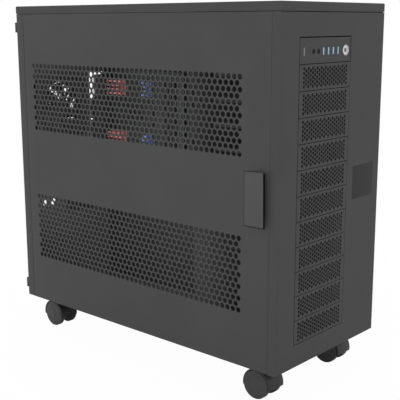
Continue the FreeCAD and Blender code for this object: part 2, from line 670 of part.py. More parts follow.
def make_io_faceplate():
    bottom = BAY_TOP - BAY_PITCH + COVER_GAP
    top = BAY_TOP - COVER_GAP
    face = box(BAY_LEFT + COVER_GAP, BAY_RIGHT - COVER_GAP, 0, SHEET, bottom, top)
    plate = join(face, *cover_returns(bottom, top, RETURN_DEPTH + STIFFENER))
    cuts = [plate_y(LED_X, IO_LEVEL, LED_WIDTH, LED_HEIGHT, 0, SHEET),
            plate_y(RESET_X, IO_LEVEL, RESET_WIDTH, RESET_HEIGHT, 0, SHEET),
            rod_y(POWER_X, IO_LEVEL, RING_RADIUS + ROUND_CLEARANCE, 0, SHEET)]
    for x in JACK_X:
        cuts.append(rod_y(x, IO_LEVEL, JACK_RADIUS + ROUND_CLEARANCE, 0, SHEET))
    for x in USB_X:
        cuts.append(plate_y(x, IO_LEVEL, USB_WIDTH, USB_HEIGHT, 0, SHEET))
    save("io_faceplate", plate.cut(Part.makeCompound(cuts)))
    front = IO_BOARD_FRONT
    board = box(BAY_LEFT + THIN_SHEET, BAY_RIGHT - THIN_SHEET, front, front + BOARD_THICK,
                bottom + RETURN_INSET, top - RETURN_INSET)
    power_switch = plate_y(POWER_X, IO_LEVEL, RESET_HEIGHT, RESET_HEIGHT, front - SWITCH_DEPTH, front)
    reset_switch = plate_y(RESET_X, IO_LEVEL, SWITCH_DEPTH, POWER_RADIUS, front - SWITCH_DEPTH, front)
    save("io_circuit_board", join(board, power_switch, reset_switch))


def make_ports():
    front = IO_BOARD_FRONT
    switch_front = front - SWITCH_DEPTH - SWITCH_GAP
    lead = ROUND_CLEARANCE
    socket_end = JACK_REACH + lead
    fit = 2 * SNAP_GAP
    pipe = plate_y(LED_X, IO_LEVEL, LED_WIDTH - fit, LED_HEIGHT - fit, SEAT_GAP, front)
    save("led_light_pipe", pipe)
    button = plate_y(RESET_X, IO_LEVEL, RESET_WIDTH - fit, RESET_HEIGHT - fit, COVER_GAP, switch_front)
    save("reset_button", button)
    shells = []
    for x in USB_X:
        width = USB_WIDTH - 2 * ROUND_CLEARANCE
        height = USB_HEIGHT - 2 * ROUND_CLEARANCE
        shell = plate_y(x, IO_LEVEL, width, height, lead, front)
        hollow = plate_y(x, IO_LEVEL, width - 2 * USB_WALL, height - 2 * USB_WALL, lead, socket_end)
        tongue = plate_y(x, IO_LEVEL, USB_TONGUE, height - USB_TONGUE - 2 * USB_WALL, SHEET, socket_end)
        shells.append(join(shell.cut(hollow), tongue))
    save("usb_ports", *shells)
    jacks = []
    for x in JACK_X:
        nose = rod_y(x, IO_LEVEL, JACK_RADIUS, lead, SHEET + lead)
        body = plate_y(x, IO_LEVEL, JACK_BODY, JACK_BODY, SHEET + lead, front)
        jacks.append(join(nose, body).cut(rod_y(x, IO_LEVEL, JACK_BORE, lead, socket_end)))
    save("audio_jacks", *jacks)
    nut_outline = hexagon(Vec(POWER_X, SHEET, IO_LEVEL), RING_NUT, ALONG_X, ALONG_Z)
    nut = Part.Face(nut_outline).extrude(Vec(0, THIN_SHEET, 0))
    ring = join(rod_y(POWER_X, IO_LEVEL, RING_RADIUS, 0, RING_LENGTH), nut)
    save("button_ring", ring.cut(rod_y(POWER_X, IO_LEVEL, POWER_RADIUS + SLIDE_FIT, 0, RING_LENGTH)))
    save("power_button", rod_y(POWER_X, IO_LEVEL, POWER_RADIUS, REVEAL, switch_front))


# Casters
def caster_places():
    places = []
    for y in (CASTER_INSET_FRONT, CASE_DEPTH - CASTER_INSET_REAR):
        for x in (CASTER_INSET_X, CASE_WIDTH - CASTER_INSET_X):
            places.append((x, y))
    return places


def make_socket(x, y):
    """A square plate under the pan with a hexagonal nut that stands up through it."""
    half = SOCKET_SIZE / 2
    plate = box(x - half, x + half, y - half, y + half, -SOCKET_PLATE, 0)
    nut_face = Part.Face(hexagon(Vec(x, y, 0), SOCKET_NUT, ALONG_X, ALONG_Y))
    nut = nut_face.extrude(Vec(0, 0, STEM_REACH + SHEET))
    return join(plate, nut).cut(rod_z(x, y, STEM_RADIUS + SLIDE_FIT, -SOCKET_PLATE, STEM_REACH + SHEET))


def make_fork(x, y, trail):
    axle_y = y + trail
    half_web = CASTER_WEB / 2
    half_hood = WHEEL_FACE - HOOD_INSET
    half_axle = BORE_END - WHEEL_GAP
    half_collar = COLLAR_SIZE / 2
    inner = WHEEL_RADIUS + HOOD_SHIFT + HOOD_CLEARANCE
    outer = inner + HOOD_THICK
    stem = rod_z(x, y, STEM_RADIUS, COLLAR_BOTTOM, STEM_REACH)
    collar = box(x - half_collar, x + half_collar, y - half_collar, y + half_collar, COLLAR_BOTTOM,
                 -SOCKET_PLATE - SLIDE_FIT)
    web_front = min(y, axle_y) - half_collar
    web_rear = max(y, axle_y) + half_collar
    web = box(x - half_web, x + half_web, web_front, web_rear, AXLE_Z - half_collar, COLLAR_BOTTOM)
    axle = rod_x(axle_y, AXLE_Z, WHEEL_BORE - SLIDE_FIT, x - half_axle, x + half_axle)
    hood_y = axle_y - math.copysign(HOOD_SHIFT, trail)
    hood = rod_x(hood_y, AXLE_Z, outer, x - half_hood, x + half_hood)
    hood = hood.cut(rod_x(hood_y, AXLE_Z, inner, x - half_hood, x + half_hood))
    below = AXLE_Z - HOOD_DROP
    reach = 2 * outer
    hood = hood.cut(box(x - outer, x + outer, axle_y - reach, axle_y + reach, AXLE_Z - reach, below))
    return join(stem, collar, web, axle, hood)


def make_wheel(x, side, axle_y):
    """One wheel turned from a half section: a hub, a narrow tread and a blind bore."""
    section = [(HUB_FACE, WHEEL_BORE), (HUB_FACE, WHEEL_HUB_RADIUS), (TREAD_FACE, WHEEL_HUB_RADIUS),
               (TREAD_FACE, WHEEL_RADIUS), (WHEEL_FACE - WHEEL_CHAMFER, WHEEL_RADIUS),
               (WHEEL_FACE, WHEEL_RADIUS - WHEEL_CHAMFER), (WHEEL_FACE, 0),
               (BORE_END, 0), (BORE_END, WHEEL_BORE)]
    points = [Vec(x + side * along, axle_y, AXLE_Z + radius) for along, radius in section]
    return Part.Face(polygon(points)).revolve(Vec(x, axle_y, AXLE_Z), ALONG_X, 360)


def make_casters():
    names = ["front_left", "front_right", "rear_left", "rear_right"]
    sockets = []
    for name, (x, y) in zip(names, caster_places()):
        trail = CASTER_TRAIL if name.startswith("front") else -CASTER_TRAIL
        outward = -1 if name.endswith("left") else 1
        sockets.append(make_socket(x, y))
        save("caster_fork_" + name, make_fork(x, y, trail))
        save("wheel_" + name + "_outer", make_wheel(x, outward, y + trail))
        save("wheel_" + name + "_inner", make_wheel(x, -outward, y + trail))
    save("caster_sockets", *sockets)


make_top_cover()
make_base_pan()
make_front_bezel()
make_front_frame()
make_bay_rails()
make_right_panel()
make_rear_panel()
make_rear_fan()
make_tray()
make_board_parts()
make_door()
make_hinge()
make_handle()
make_bay_covers()
make_io_faceplate()
make_ports()
make_casters()
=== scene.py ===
# %% [markdown]
# This lesson dresses a tall tower computer case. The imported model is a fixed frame: every panel, hinge
# and wheel already has its real size and place. Here each visible piece gets its true surface: folded
# sheet metal with punched holes, moulded casters, ports and a fan. The frame is loaded first and its box
# is kept, because the dressed case has to stay the same size.

# %% Load the frame
import math
import bmesh
import bpy
from mathutils import Matrix, Vector
from mathutils.geometry import delaunay_2d_cdt


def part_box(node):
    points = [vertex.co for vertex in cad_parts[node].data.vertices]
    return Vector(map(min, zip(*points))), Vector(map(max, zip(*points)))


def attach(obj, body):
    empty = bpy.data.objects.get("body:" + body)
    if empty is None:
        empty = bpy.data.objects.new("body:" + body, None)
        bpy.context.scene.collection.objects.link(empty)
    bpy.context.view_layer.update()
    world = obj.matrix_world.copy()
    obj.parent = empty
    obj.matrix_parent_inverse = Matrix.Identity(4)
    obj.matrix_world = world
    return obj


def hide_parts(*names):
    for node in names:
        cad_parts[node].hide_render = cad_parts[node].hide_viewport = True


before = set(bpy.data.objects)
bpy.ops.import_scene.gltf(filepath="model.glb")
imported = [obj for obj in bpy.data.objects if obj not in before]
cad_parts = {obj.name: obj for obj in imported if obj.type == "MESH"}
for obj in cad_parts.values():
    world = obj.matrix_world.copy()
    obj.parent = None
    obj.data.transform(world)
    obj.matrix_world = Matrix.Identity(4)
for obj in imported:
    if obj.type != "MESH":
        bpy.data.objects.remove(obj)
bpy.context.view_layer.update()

MM = 0.001
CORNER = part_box("front_bezel")[0]
print("frame loaded, nodes:", len(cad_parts))

# %% [markdown]
# All places below are written as a case maker would give them: millimetres from the front left bottom
# corner of the body, X to the right, Y to the rear and Z up. One helper turns them into the frame's
# metres, and one reads a frame node's box back. A third describes a wall: a flat place with its own
# across and up directions, and a depth that goes inwards.

# %% Places in case millimetres
ACROSS = Vector((1, 0, 0))
BACK = Vector((0, 1, 0))
UP = Vector((0, 0, 1))


def at(x, y, z):
    return CORNER + Vector((x, y, z)) * MM


def span(node):
    """Lowest and highest corner of a frame node in case millimetres."""
    low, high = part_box(node)
    return (low - CORNER) / MM, (high - CORNER) / MM


def wall(origin, across, up):
    inward = -across.cross(up)

    def place(u, v, depth=0.0):
        return origin + (across * u + up * v + inward * depth) * MM

    return place


CASE_WIDTH = span("right_panel")[1].x
CASE_DEPTH = span("top_cover")[1].y
CASE_HEIGHT = span("top_cover")[1].z
FRONT_WALL = wall(at(0, 0, 0), ACROSS, UP)
DOOR_WALL = wall(at(0, 0, 0), -BACK, UP)
RIGHT_WALL = wall(at(CASE_WIDTH, 0, 0), BACK, UP)
REAR_WALL = wall(at(0, CASE_DEPTH, 0), -ACROSS, UP)
ROOF = wall(at(0, 0, CASE_HEIGHT), ACROSS, BACK)
PLAN = wall(at(0, 0, 0), ACROSS, BACK)
print("case in mm:", round(CASE_WIDTH), round(CASE_DEPTH), round(CASE_HEIGHT))

# %% [markdown]
# The camera stands where the photographer stood: to the front left and a little below the top of the
# case. Its place and lens come from fitting the straight edges of the case, so they are plain real
# values.

# %% Camera
CAMERA_SPOT = (-1057.8, -780.4, 580.3)
CAMERA_YAW = math.radians(48.17)
CAMERA_PITCH = math.radians(11.95)
CAMERA_ROLL = math.radians(-0.13)
CAMERA_LENS = 75.7
CAMERA_REACH = 50


def make_camera():
    forward = Vector((math.sin(CAMERA_YAW) * math.cos(CAMERA_PITCH),
                      math.cos(CAMERA_YAW) * math.cos(CAMERA_PITCH), -math.sin(CAMERA_PITCH)))
    right = Vector((math.cos(CAMERA_YAW), -math.sin(CAMERA_YAW), 0))
    above = right.cross(forward)
    turned_right = right * math.cos(CAMERA_ROLL) + above * math.sin(CAMERA_ROLL)
    turned_up = above * math.cos(CAMERA_ROLL) - right * math.sin(CAMERA_ROLL)
    camera = bpy.data.objects.new("camera", bpy.data.cameras.new("camera"))
    bpy.context.scene.collection.objects.link(camera)
    axes = Matrix((turned_right, turned_up, -forward)).transposed()
    camera.matrix_world = Matrix.Translation(at(*CAMERA_SPOT)) @ axes.to_4x4()
    camera.data.lens = CAMERA_LENS
    camera.data.clip_end = CAMERA_REACH
    bpy.context.scene.camera = camera
    return camera


camera = make_camera()
print("camera at", [round(value, 3) for value in camera.location])

# %% [markdown]
# The photo is a cut-out on white. A pale floor would show a grey edge against the sky, so its material
# mixes paint with a white glow that only the camera sees. What is left of the paint keeps a light shadow
# under the casters.

# %% Floor
FLOOR_GLOW = 0.97
FLOOR_GREY = 0.9
FLOOR_REACH = 12.0
WHITE = (1, 1, 1, 1)


def floor_paint():
    material = bpy.data.materials.new("pale floor")
    material.use_nodes = True
    nodes = material.node_tree.nodes
    links = material.node_tree.links
    nodes.clear()
    output = nodes.new("ShaderNodeOutputMaterial")
    blend = nodes.new("ShaderNodeMixShader")
    paint = nodes.new("ShaderNodeBsdfDiffuse")
    paint.inputs["Color"].default_value = (FLOOR_GREY, FLOOR_GREY, FLOOR_GREY, 1)
    glow = nodes.new("ShaderNodeEmission")
    glow.inputs["Strength"].default_value = 1.0
    path = nodes.new("ShaderNodeLightPath")
    share = nodes.new("ShaderNodeMath")
    share.operation = "MULTIPLY"
    share.inputs[1].default_value = FLOOR_GLOW
    links.new(path.outputs["Is Camera Ray"], share.inputs[0])
    links.new(share.outputs[0], blend.inputs["Fac"])
    links.new(paint.outputs[0], blend.inputs[1])
    links.new(glow.outputs[0], blend.inputs[2])
    links.new(blend.outputs[0], output.inputs["Surface"])
    return material


def make_floor():
    mesh = bpy.data.meshes.new("floor")
    reach = FLOOR_REACH
    corners = [(-reach, -reach, 0), (reach, -reach, 0), (reach, reach, 0), (-reach, reach, 0)]
    mesh.from_pydata(corners, [], [(0, 1, 2, 3)])
    floor = bpy.data.objects.new("floor", mesh)
    bpy.context.scene.collection.objects.link(floor)
    mesh.materials.append(floor_paint())


make_floor()
print("floor reaches", FLOOR_REACH, "m")

# %% [markdown]
# An even white sky lights the case softly from all sides. Camera, glossy and transmission rays see plain
# white as well, so that what shows behind the case and in its shiny rings is the white of the photo.

# %% Sky
SKY_STRENGTH = 1.0


def make_sky():
    world = bpy.data.worlds.new("white sky")
    bpy.context.scene.world = world
    world.use_nodes = True
    nodes = world.node_tree.nodes
    links = world.node_tree.links
    nodes.clear()
    output = nodes.new("ShaderNodeOutputWorld")
    blend = nodes.new("ShaderNodeMixShader")
    lighting = nodes.new("ShaderNodeBackground")
    lighting.inputs["Strength"].default_value = SKY_STRENGTH
    seen = nodes.new("ShaderNodeBackground")
    seen.inputs["Strength"].default_value = 1.0
    path = nodes.new("ShaderNodeLightPath")
    glossy = nodes.new("ShaderNodeMath")
    glossy.operation = "MAXIMUM"
    through = nodes.new("ShaderNodeMath")
    through.operation = "MAXIMUM"
    links.new(path.outputs["Is Camera Ray"], glossy.inputs[0])
    links.new(path.outputs["Is Glossy Ray"], glossy.inputs[1])
    links.new(glossy.outputs[0], through.inputs[0])
    links.new(path.outputs["Is Transmission Ray"], through.inputs[1])
    links.new(through.outputs[0], blend.inputs["Fac"])
    for background in (lighting, seen):
        background.inputs["Color"].default_value = WHITE
    links.new(lighting.outputs[0], blend.inputs[1])
    links.new(seen.outputs[0], blend.inputs[2])
    links.new(blend.outputs[0], output.inputs["Surface"])
    return world


print("sky:", make_sky().name)

# %% [markdown]
# Two large soft lamps stand outside: the key lamp high on the left, and a weaker one near the floor that
# lifts the lower front. Two small lamps just inside the door stand for the light that falls through the
# vents and shows what is behind them. They are kept out of reflections.

# %% Lamps
INSIDE_LAMP_X = 16
INSIDE_AIM_X = 200


def make_lamp(name, spot, target, size, power):
    lamp = bpy.data.lights.new(name, "AREA")
    lamp.energy = power
    lamp.size = size
    holder = bpy.data.objects.new(name, lamp)
    bpy.context.scene.collection.objects.link(holder)
    holder.location = spot
    holder.rotation_euler = (Vector(target) - Vector(spot)).to_track_quat("-Z", "Y").to_euler()
    return holder


def make_inside_lamp(name, y, z, size, power):
    lamp = make_lamp(name, at(INSIDE_LAMP_X, y, z), at(INSIDE_AIM_X, y, z), size, power)
    lamp.visible_glossy = False


make_lamp("key lamp", (-3.6, -0.6, 3.0), (0, 0, 0.35), size=2.4, power=27)
make_lamp("low fill lamp", (-2.0, -2.2, 0.2), (-0.1, -0.2, 0.1), size=1.2, power=8)
make_inside_lamp("upper inside lamp", 440, 350, size=0.42, power=1.4)
make_inside_lamp("lower inside lamp", 320, 130, size=0.3, power=0.6)
bpy.context.scene.view_settings.view_transform = "Standard"
print("lamps:", len(bpy.data.lights))

# %% [markdown]
# Powder coat is paint baked from dust: an even colour with a very fine orange-peel skin and slight
# changes of gloss. A noise texture a fraction of a millimetre across drives the bump, and a broad one
# shifts colour and roughness by a few percent, as hands and cleaning do. One helper makes every finish,
# because the others differ only in their grain: moulded plastic is coarser, plated steel is drawn out in
# one direction.

# %% One helper for every finish
BROAD_SCALE = 9.0
BROAD_DETAIL = 4.0
TINT_STOPS = (0.3, 0.7)
ROUGH_DRIFT = 0.1
FINE_DETAIL = 2.0
BUMP_STRENGTH = 0.35


def add_noise(nodes, links, mapping, scale, detail):
    noise = nodes.new("ShaderNodeTexNoise")
    noise.inputs["Scale"].default_value = scale
    noise.inputs["Detail"].default_value = detail
    links.new(mapping.outputs[0], noise.inputs["Vector"])
    return noise


def finish(name, colour, rough, grain, depth, metal=0.0, gloss=0.5, drift=0.06, stretch=(1, 1, 1)):
    """A finish with a grain this many millimetres across and this many deep."""
    material = bpy.data.materials.new(name)
    material.use_nodes = True
    nodes = material.node_tree.nodes
    links = material.node_tree.links
    shader = nodes["Principled BSDF"]
    shader.inputs["Metallic"].default_value = metal
    shader.inputs["Specular IOR Level"].default_value = gloss
    place = nodes.new("ShaderNodeTexCoord")
    mapping = nodes.new("ShaderNodeMapping")
    mapping.inputs["Scale"].default_value = stretch
    links.new(place.outputs["Object"], mapping.inputs["Vector"])
    broad = add_noise(nodes, links, mapping, BROAD_SCALE, BROAD_DETAIL)
    tint = nodes.new("ShaderNodeValToRGB")
    for stop, position, side in zip(tint.color_ramp.elements, TINT_STOPS, (-1, 1)):
        stop.position = position
        stop.color = [value * (1 + side * drift) for value in colour] + [1]
    links.new(broad.outputs["Fac"], tint.inputs["Fac"])
    links.new(tint.outputs["Color"], shader.inputs["Base Color"])
    sheen = nodes.new("ShaderNodeMapRange")
    sheen.inputs["To Min"].default_value = rough * (1 - ROUGH_DRIFT)
    sheen.inputs["To Max"].default_value = min(1.0, rough * (1 + ROUGH_DRIFT))
    links.new(broad.outputs["Fac"], sheen.inputs["Value"])
    links.new(sheen.outputs[0], shader.inputs["Roughness"])
    fine = add_noise(nodes, links, mapping, 1 / (grain * MM), FINE_DETAIL)
    bump = nodes.new("ShaderNodeBump")
    bump.inputs["Strength"].default_value = BUMP_STRENGTH
    bump.inputs["Distance"].default_value = depth * MM
    links.new(fine.outputs["Fac"], bump.inputs["Height"])
    links.new(bump.outputs["Normal"], shader.inputs["Normal"])
    return material


print("colour drifts over about", round(1 / (BROAD_SCALE * MM)), "mm")

# %% [markdown]
# The outside is one dark grey coat. Door, front and pull are copies of it in slightly different shades,
# each set to how brightly that face shows under the light: painted light and shade. Inside, the coat is
# darker. Plastics and metals follow: the caster wheels are greyer than their hoods, the plated steel is
# brushed sideways, and the fins on the board are dyed.

# %% The finishes
# door, front and pull share one coat; the front and pull copies are painted lighter to set how brightly each
# shows in the light
PANEL = finish("grey powder coat", (0.049, 0.049, 0.0495), 0.55, 1.1, 0.05, gloss=0.2)
FRONT_LIT_COAT = finish("front powder coat painted lighter", (0.0545, 0.0545, 0.055), 0.6, 1.1, 0.05, gloss=0.1)
PULL_LIT_COAT = finish("pull powder coat painted lighter", (0.059, 0.059, 0.0595), 0.5, 1.1, 0.05, gloss=0.2)
INNER_COAT = finish("inner dark coat", (0.021, 0.021, 0.0215), 0.6, 1.1, 0.05, gloss=0.15)
RAIL_COAT = finish("black rail coat", (0.017, 0.017, 0.0175), 0.6, 1.1, 0.05, gloss=0.1)
BADGE = finish("bare badge plate", (0.034, 0.034, 0.035), 0.65, 0.6, 0.03, gloss=0.1)
BLACK_PLASTIC = finish("black moulded plastic", (0.017, 0.017, 0.018), 0.5, 0.8, 0.08, gloss=0.4)
HOOD_PLASTIC = finish("caster hood plastic", (0.016, 0.016, 0.016), 0.45, 0.8, 0.08, gloss=0.4)
WHEEL_PLASTIC = finish("caster wheel nylon", (0.034, 0.034, 0.035), 0.45, 0.9, 0.08, gloss=0.4)
STEEL = finish("plated steel", (0.55, 0.55, 0.56), 0.3, 0.5, 0.02, metal=1.0, stretch=(1, 1, 12))
SILVER = finish("turned silver ring", (0.62, 0.61, 0.62), 0.25, 0.5, 0.02, metal=1.0, stretch=(12, 1, 1))
BUTTON = finish("button centre", (0.1, 0.075, 0.085), 0.4, 0.5, 0.02)
RED_METAL = finish("red anodised fins", (0.34, 0.11, 0.115), 0.4, 0.5, 0.02, stretch=(1, 8, 1))
BLUE_METAL = finish("blue anodised fins", (0.09, 0.12, 0.27), 0.4, 0.5, 0.02, stretch=(1, 8, 1))
BOARD = finish("black circuit board", (0.017, 0.019, 0.018), 0.4, 2.0, 0.1, gloss=0.5, drift=0.3)
PORT_NAVY = finish("navy port shell", (0.02, 0.05, 0.1), 0.4, 0.6, 0.03)
PORT_BLUE = finish("blue port tongue", (0.3, 0.42, 0.52), 0.4, 0.6, 0.03)
PORT_TEAL = finish("teal port tongue", (0.22, 0.42, 0.46), 0.4, 0.6, 0.03)
PALE_PLASTIC = finish("frosted light pipe", (0.15, 0.155, 0.16), 0.35, 0.6, 0.02)
print("materials:", len(bpy.data.materials))

# %% [markdown]
# Flat outlines come first. A border is a list of points with the direction that the edge is folded
# towards, so that one bend can run round square and round corners alike. Holes are plain rings of
# corners.

# %% Borders and holes
ARC_STEPS = 6


def border(u0, u1, v0, v1, front_radius=0.0, lean=1.0):
    """Corner points, anticlockwise, with outward directions; the two lower corners may be round."""
    corners = []
    lower = [(u0, v0, math.pi, -1), (u1, v0, 1.5 * math.pi, 1)]
    for u, v, start, sign in lower:
        if not front_radius:
            corners.append((u, v, sign, -lean))
            continue
        for step in range(ARC_STEPS + 1):
            angle = start + math.pi / 2 * step / ARC_STEPS
            across = math.cos(angle)
            along = math.sin(angle)
            corners.append((u - sign * front_radius + across * front_radius,
                            v + front_radius + along * front_radius, across, along))
    corners.append((u1, v1, 1, lean))
    corners.append((u0, v1, -1, lean))
    return corners


def ring_of(u, v, radius, sides, turn=0.0):
    corners = []
    for side in range(sides):
        angle = turn + 2 * math.pi * side / sides
        corners.append((u + radius * math.cos(angle), v + radius * math.sin(angle)))
    return corners


def window_of(u0, u1, v0, v1):
    return [(u0, v0), (u1, v0), (u1, v1), (u0, v1)]


def lying_slot(u0, u1, v0, v1):
    """A slot with round ends, longer across than up."""
    radius = (v1 - v0) / 2
    corners = []
    for u, start in ((u1 - radius, -math.pi / 2), (u0 + radius, math.pi / 2)):
        for step in range(ARC_STEPS + 1):
            angle = start + math.pi * step / ARC_STEPS
            corners.append((u + radius * math.cos(angle), v0 + radius + radius * math.sin(angle)))
    return corners


print("a slot has", len(lying_slot(0, 40, 0, 10)), "corners")

# %% [markdown]
# A vent has hundreds of holes. Cutting each with a boolean would be slow and leave ragged edges, so the
# sheet is triangulated once around every hole outline. A triangle whose corners all belong to one hole
# lies inside that hole and is left out.

# %% Punched sheets
SAME_POINT = 1e-6
KEEP_INSIDE = 1


def punched(rim, holes):
    """Triangles of a flat sheet with its convex holes left open, and the loops round the holes."""
    points = list(rim)
    owner = [-1] * len(rim)
    edges = [(step, (step + 1) % len(rim)) for step in range(len(rim))]
    loops = []
    for number, hole in enumerate(holes):
        loop = list(range(len(points), len(points) + len(hole)))
        points += hole
        owner += [number] * len(hole)
        edges += list(zip(loop, loop[1:] + loop[:1]))
        loops.append(loop)
    made = delaunay_2d_cdt([Vector(point) for point in points], edges, [], KEEP_INSIDE, SAME_POINT)
    source = [origins[0] for origins in made[3]]
    triangles = []
    for face in made[2]:
        corners = [source[index] for index in face]
        owners = {owner[index] for index in corners}
        if len(owners) > 1 or -1 in owners:
            triangles.append(corners)
    return points, triangles, loops


sample = punched(window_of(0, 10, 0, 10), [window_of(4, 6, 4, 6)])
print("a square with one square hole has", len(sample[1]), "triangles")

# %% [markdown]
# Every piece is made in a small workshop class around one bmesh, which remembers the finish of each face.
# When the piece is done it becomes one object, rides on its body and, where it stands for frame nodes,
# replaces them. Edges sharper than the smooth angle stay crisp, as folded metal does.

# %% Workshop
SMOOTH_ANGLE = math.radians(32)


class Piece:
    """One visible object in the making: its mesh, and the finish of each face."""

    def __init__(self, name):
        self.name = name
        self.mesh = bmesh.new()
        self.finishes = []

    def paint(self, material, faces):
        if material not in self.finishes:
            self.finishes.append(material)
        for face in faces:
            face.material_index = self.finishes.index(material)

    def done(self, body, *nodes, slot=None):
        mesh = bpy.data.meshes.new(self.name)
        self.mesh.to_mesh(mesh)
        self.mesh.free()
        for material in self.finishes:
            mesh.materials.append(material)
        mesh.polygons.foreach_set("use_smooth", [True] * len(mesh.polygons))
        mesh.set_sharp_from_angle(angle=SMOOTH_ANGLE)
        piece = bpy.data.objects.new(self.name, mesh)
        bpy.context.scene.collection.objects.link(piece)
        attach(piece, body)
        if nodes:
            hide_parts(*nodes)
        print(self.name, "faces", len(mesh.polygons))


print("edges stay crisp above", round(math.degrees(SMOOTH_ANGLE)), "degrees")

# %% [markdown]
# Most small parts are a profile drawn straight through, like an extrusion, or a plain block. Nothing real
# has a perfectly sharp edge, so both get a small bevel. The finish is set before the bevel, because the
# new faces take theirs from the faces beside them.

# %% Profiles and blocks
def soften_edges(piece, faces, radius, steps):
    edges = list({edge for face in faces for edge in face.edges})
    bmesh.ops.bevel(piece.mesh, geom=edges, offset=radius * MM, segments=steps, profile=0.5,
                    affect="EDGES", clamp_overlap=True)


def add_profile(piece, material, place, points, depth_from, depth_to, radius=0.3, steps=2):
    """A profile on a wall, drawn straight through from one depth to another."""
    lower = [piece.mesh.verts.new(place(u, v, depth_from)) for u, v in points]
    upper = [piece.mesh.verts.new(place(u, v, depth_to)) for u, v in points]
    faces = [piece.mesh.faces.new(lower), piece.mesh.faces.new(list(reversed(upper)))]
    for here, below in enumerate(lower):
        after = (here + 1) % len(lower)
        faces.append(piece.mesh.faces.new([lower[after], below, upper[here], upper[after]]))
    bmesh.ops.recalc_face_normals(piece.mesh, faces=faces)
    piece.paint(material, faces)
    if radius:
        soften_edges(piece, faces, radius, steps)


def add_block(piece, material, low, high, radius=0.3, steps=2):
    """A box between two case points with softened edges."""
    x0, y0, z0 = low
    x1, y1, z1 = high
    add_profile(piece, material, PLAN, window_of(x0, x1, y0, y1), -z0, -z1, radius, steps)


trial = Piece("trial")
add_block(trial, PANEL, (0, 0, 0), (10, 10, 10))
print("a softened block has", len(trial.mesh.faces), "faces")
trial.mesh.free()

# %% [markdown]
# Wheels, rings, jacks and screws are round, so they are turned as on a lathe: a half section of distances
# and radii is spun round an axis. A knurled head moves every second point inwards.

# %% Turned shapes
def add_turned(piece, material, centre, axis, section, steps=48, knurl=0.0):
    """A half section of (distance along, radius) pairs spun round an axis."""
    axis = Vector(axis).normalized()
    side = axis.orthogonal().normalized()
    other = axis.cross(side)
    rings = []
    for along, radius in section:
        middle = at(*centre) + axis * along * MM
        ring = []
        for step in range(steps if radius > 0 else 1):
            angle = 2 * math.pi * step / steps
            spoke = side * math.cos(angle) + other * math.sin(angle)
            reach = (radius - knurl * (step % 2)) * MM if radius > 0 else 0.0
            ring.append(piece.mesh.verts.new(middle + spoke * reach))
        rings.append(ring)
    faces = []
    for low, high in zip(rings, rings[1:]):
        for step in range(steps):
            after = (step + 1) % steps
            corners = [low[step % len(low)], low[after % len(low)],
                       high[after % len(high)], high[step % len(high)]]
            faces.append(piece.mesh.faces.new(list(dict.fromkeys(corners))))
    bmesh.ops.recalc_face_normals(piece.mesh, faces=faces)
    piece.paint(material, faces)


trial = Piece("trial")
add_turned(trial, STEEL, (0, 0, 0), UP, [(0, 0), (0, 2), (9, 2), (9, 0)], steps=24)
print("a turned pin has", len(trial.mesh.faces), "faces")
trial.mesh.free()

# %% [markdown]
# The large panels are sheets: a punched face, the same face again one thickness behind it, the walls of
# the holes and an edge that runs round in a bend. With a fold depth the edge goes on inwards as a rim, as
# the brake press leaves it.

# %% Folded sheets
def edge_profile(thickness, bend, fold, steps):
    """The way round the edge of a sheet, as (distance out, depth) pairs."""
    profile = []
    for step in range(1, steps + 1):
        angle = math.pi / 2 * step / steps
        profile.append((bend * math.sin(angle), bend * (1 - math.cos(angle))))
    end = max(fold, thickness)
    profile.append((bend, end))
    if fold:
        profile.append((bend - thickness, end))
    return profile


def add_sheet(piece, material, place, edge, holes, thickness, bend=0.6, fold=0.0, steps=4):
    """A punched sheet whose edge is rounded and, if a fold depth is given, turned inwards all round."""
    new_point = piece.mesh.verts.new
    new_face = piece.mesh.faces.new
    rim = [(u - nu * bend, v - nv * bend) for u, v, nu, nv in edge]
    count = len(rim)
    points, triangles, loops = punched(rim, holes)

    def rim_ring(out, depth):
        ring = []
        for (u, v), (_, _, nu, nv) in zip(rim, edge):
            ring.append(new_point(place(u + nu * out, v + nv * out, depth)))
        return ring

    front = [new_point(place(u, v, 0)) for u, v in points]
    back = rim_ring(bend - thickness if fold else 0.0, thickness)
    back += [new_point(place(u, v, thickness)) for u, v in points[count:]]
    faces = []
    for a, b, c in triangles:
        faces.append(new_face((front[a], front[b], front[c])))
        faces.append(new_face((back[c], back[b], back[a])))
    for loop in loops:
        for here, there in zip(loop, loop[1:] + loop[:1]):
            faces.append(new_face((front[here], front[there], back[there], back[here])))
    rings = [front[:count]]
    rings += [rim_ring(out, depth) for out, depth in edge_profile(thickness, bend, fold, steps)]
    rings.append(back[:count])
    for inner, outer in zip(rings, rings[1:]):
        for here in range(count):
            after = (here + 1) % count
            faces.append(new_face((outer[here], outer[after], inner[after], inner[here])))
    piece.paint(material, faces)


print("a folded edge has", len(edge_profile(2.0, 5.0, 20.0, 4)), "steps")

# %% [markdown]
# The door is one sheet of aluminium with two wide vents, a window for the pull and a folded stiffener
# inside. The vents are staggered rows of round holes about 12 mm apart. A punch press makes one row at a
# time, so a loop over rows and columns tells the same story.

# %% Door vents
HOLE_PITCH = 11.92
ROW_PITCH = 10.46
HOLE_RADIUS = 4.8
HOLE_SIDES = 14
VENT_FRONT = 79.9
VENT_COLUMNS = 46
VENT_ROWS = 13
VENT_LEVELS = (100.6, 368.9)


def vent_holes(first_row):
    holes = []
    for row in range(VENT_ROWS):
        shift = row % 2
        for column in range(VENT_COLUMNS - shift):
            y = VENT_FRONT + (column + 0.5 * shift) * HOLE_PITCH
            holes.append(ring_of(-y, first_row + row * ROW_PITCH, HOLE_RADIUS, HOLE_SIDES))
    return holes


door_holes = [hole for level in VENT_LEVELS for hole in vent_holes(level)]
print("holes in the door:", len(door_holes))

# %% [markdown]
# The pull leans out of a window in the door. The window's front edge is tilted like the pull's own, and
# its lower edge steps down where the pull's foot is, so it is drawn as five corners that follow from the
# pull's sizes. Behind the sheet, a stiffener of three strips keeps the door flat.

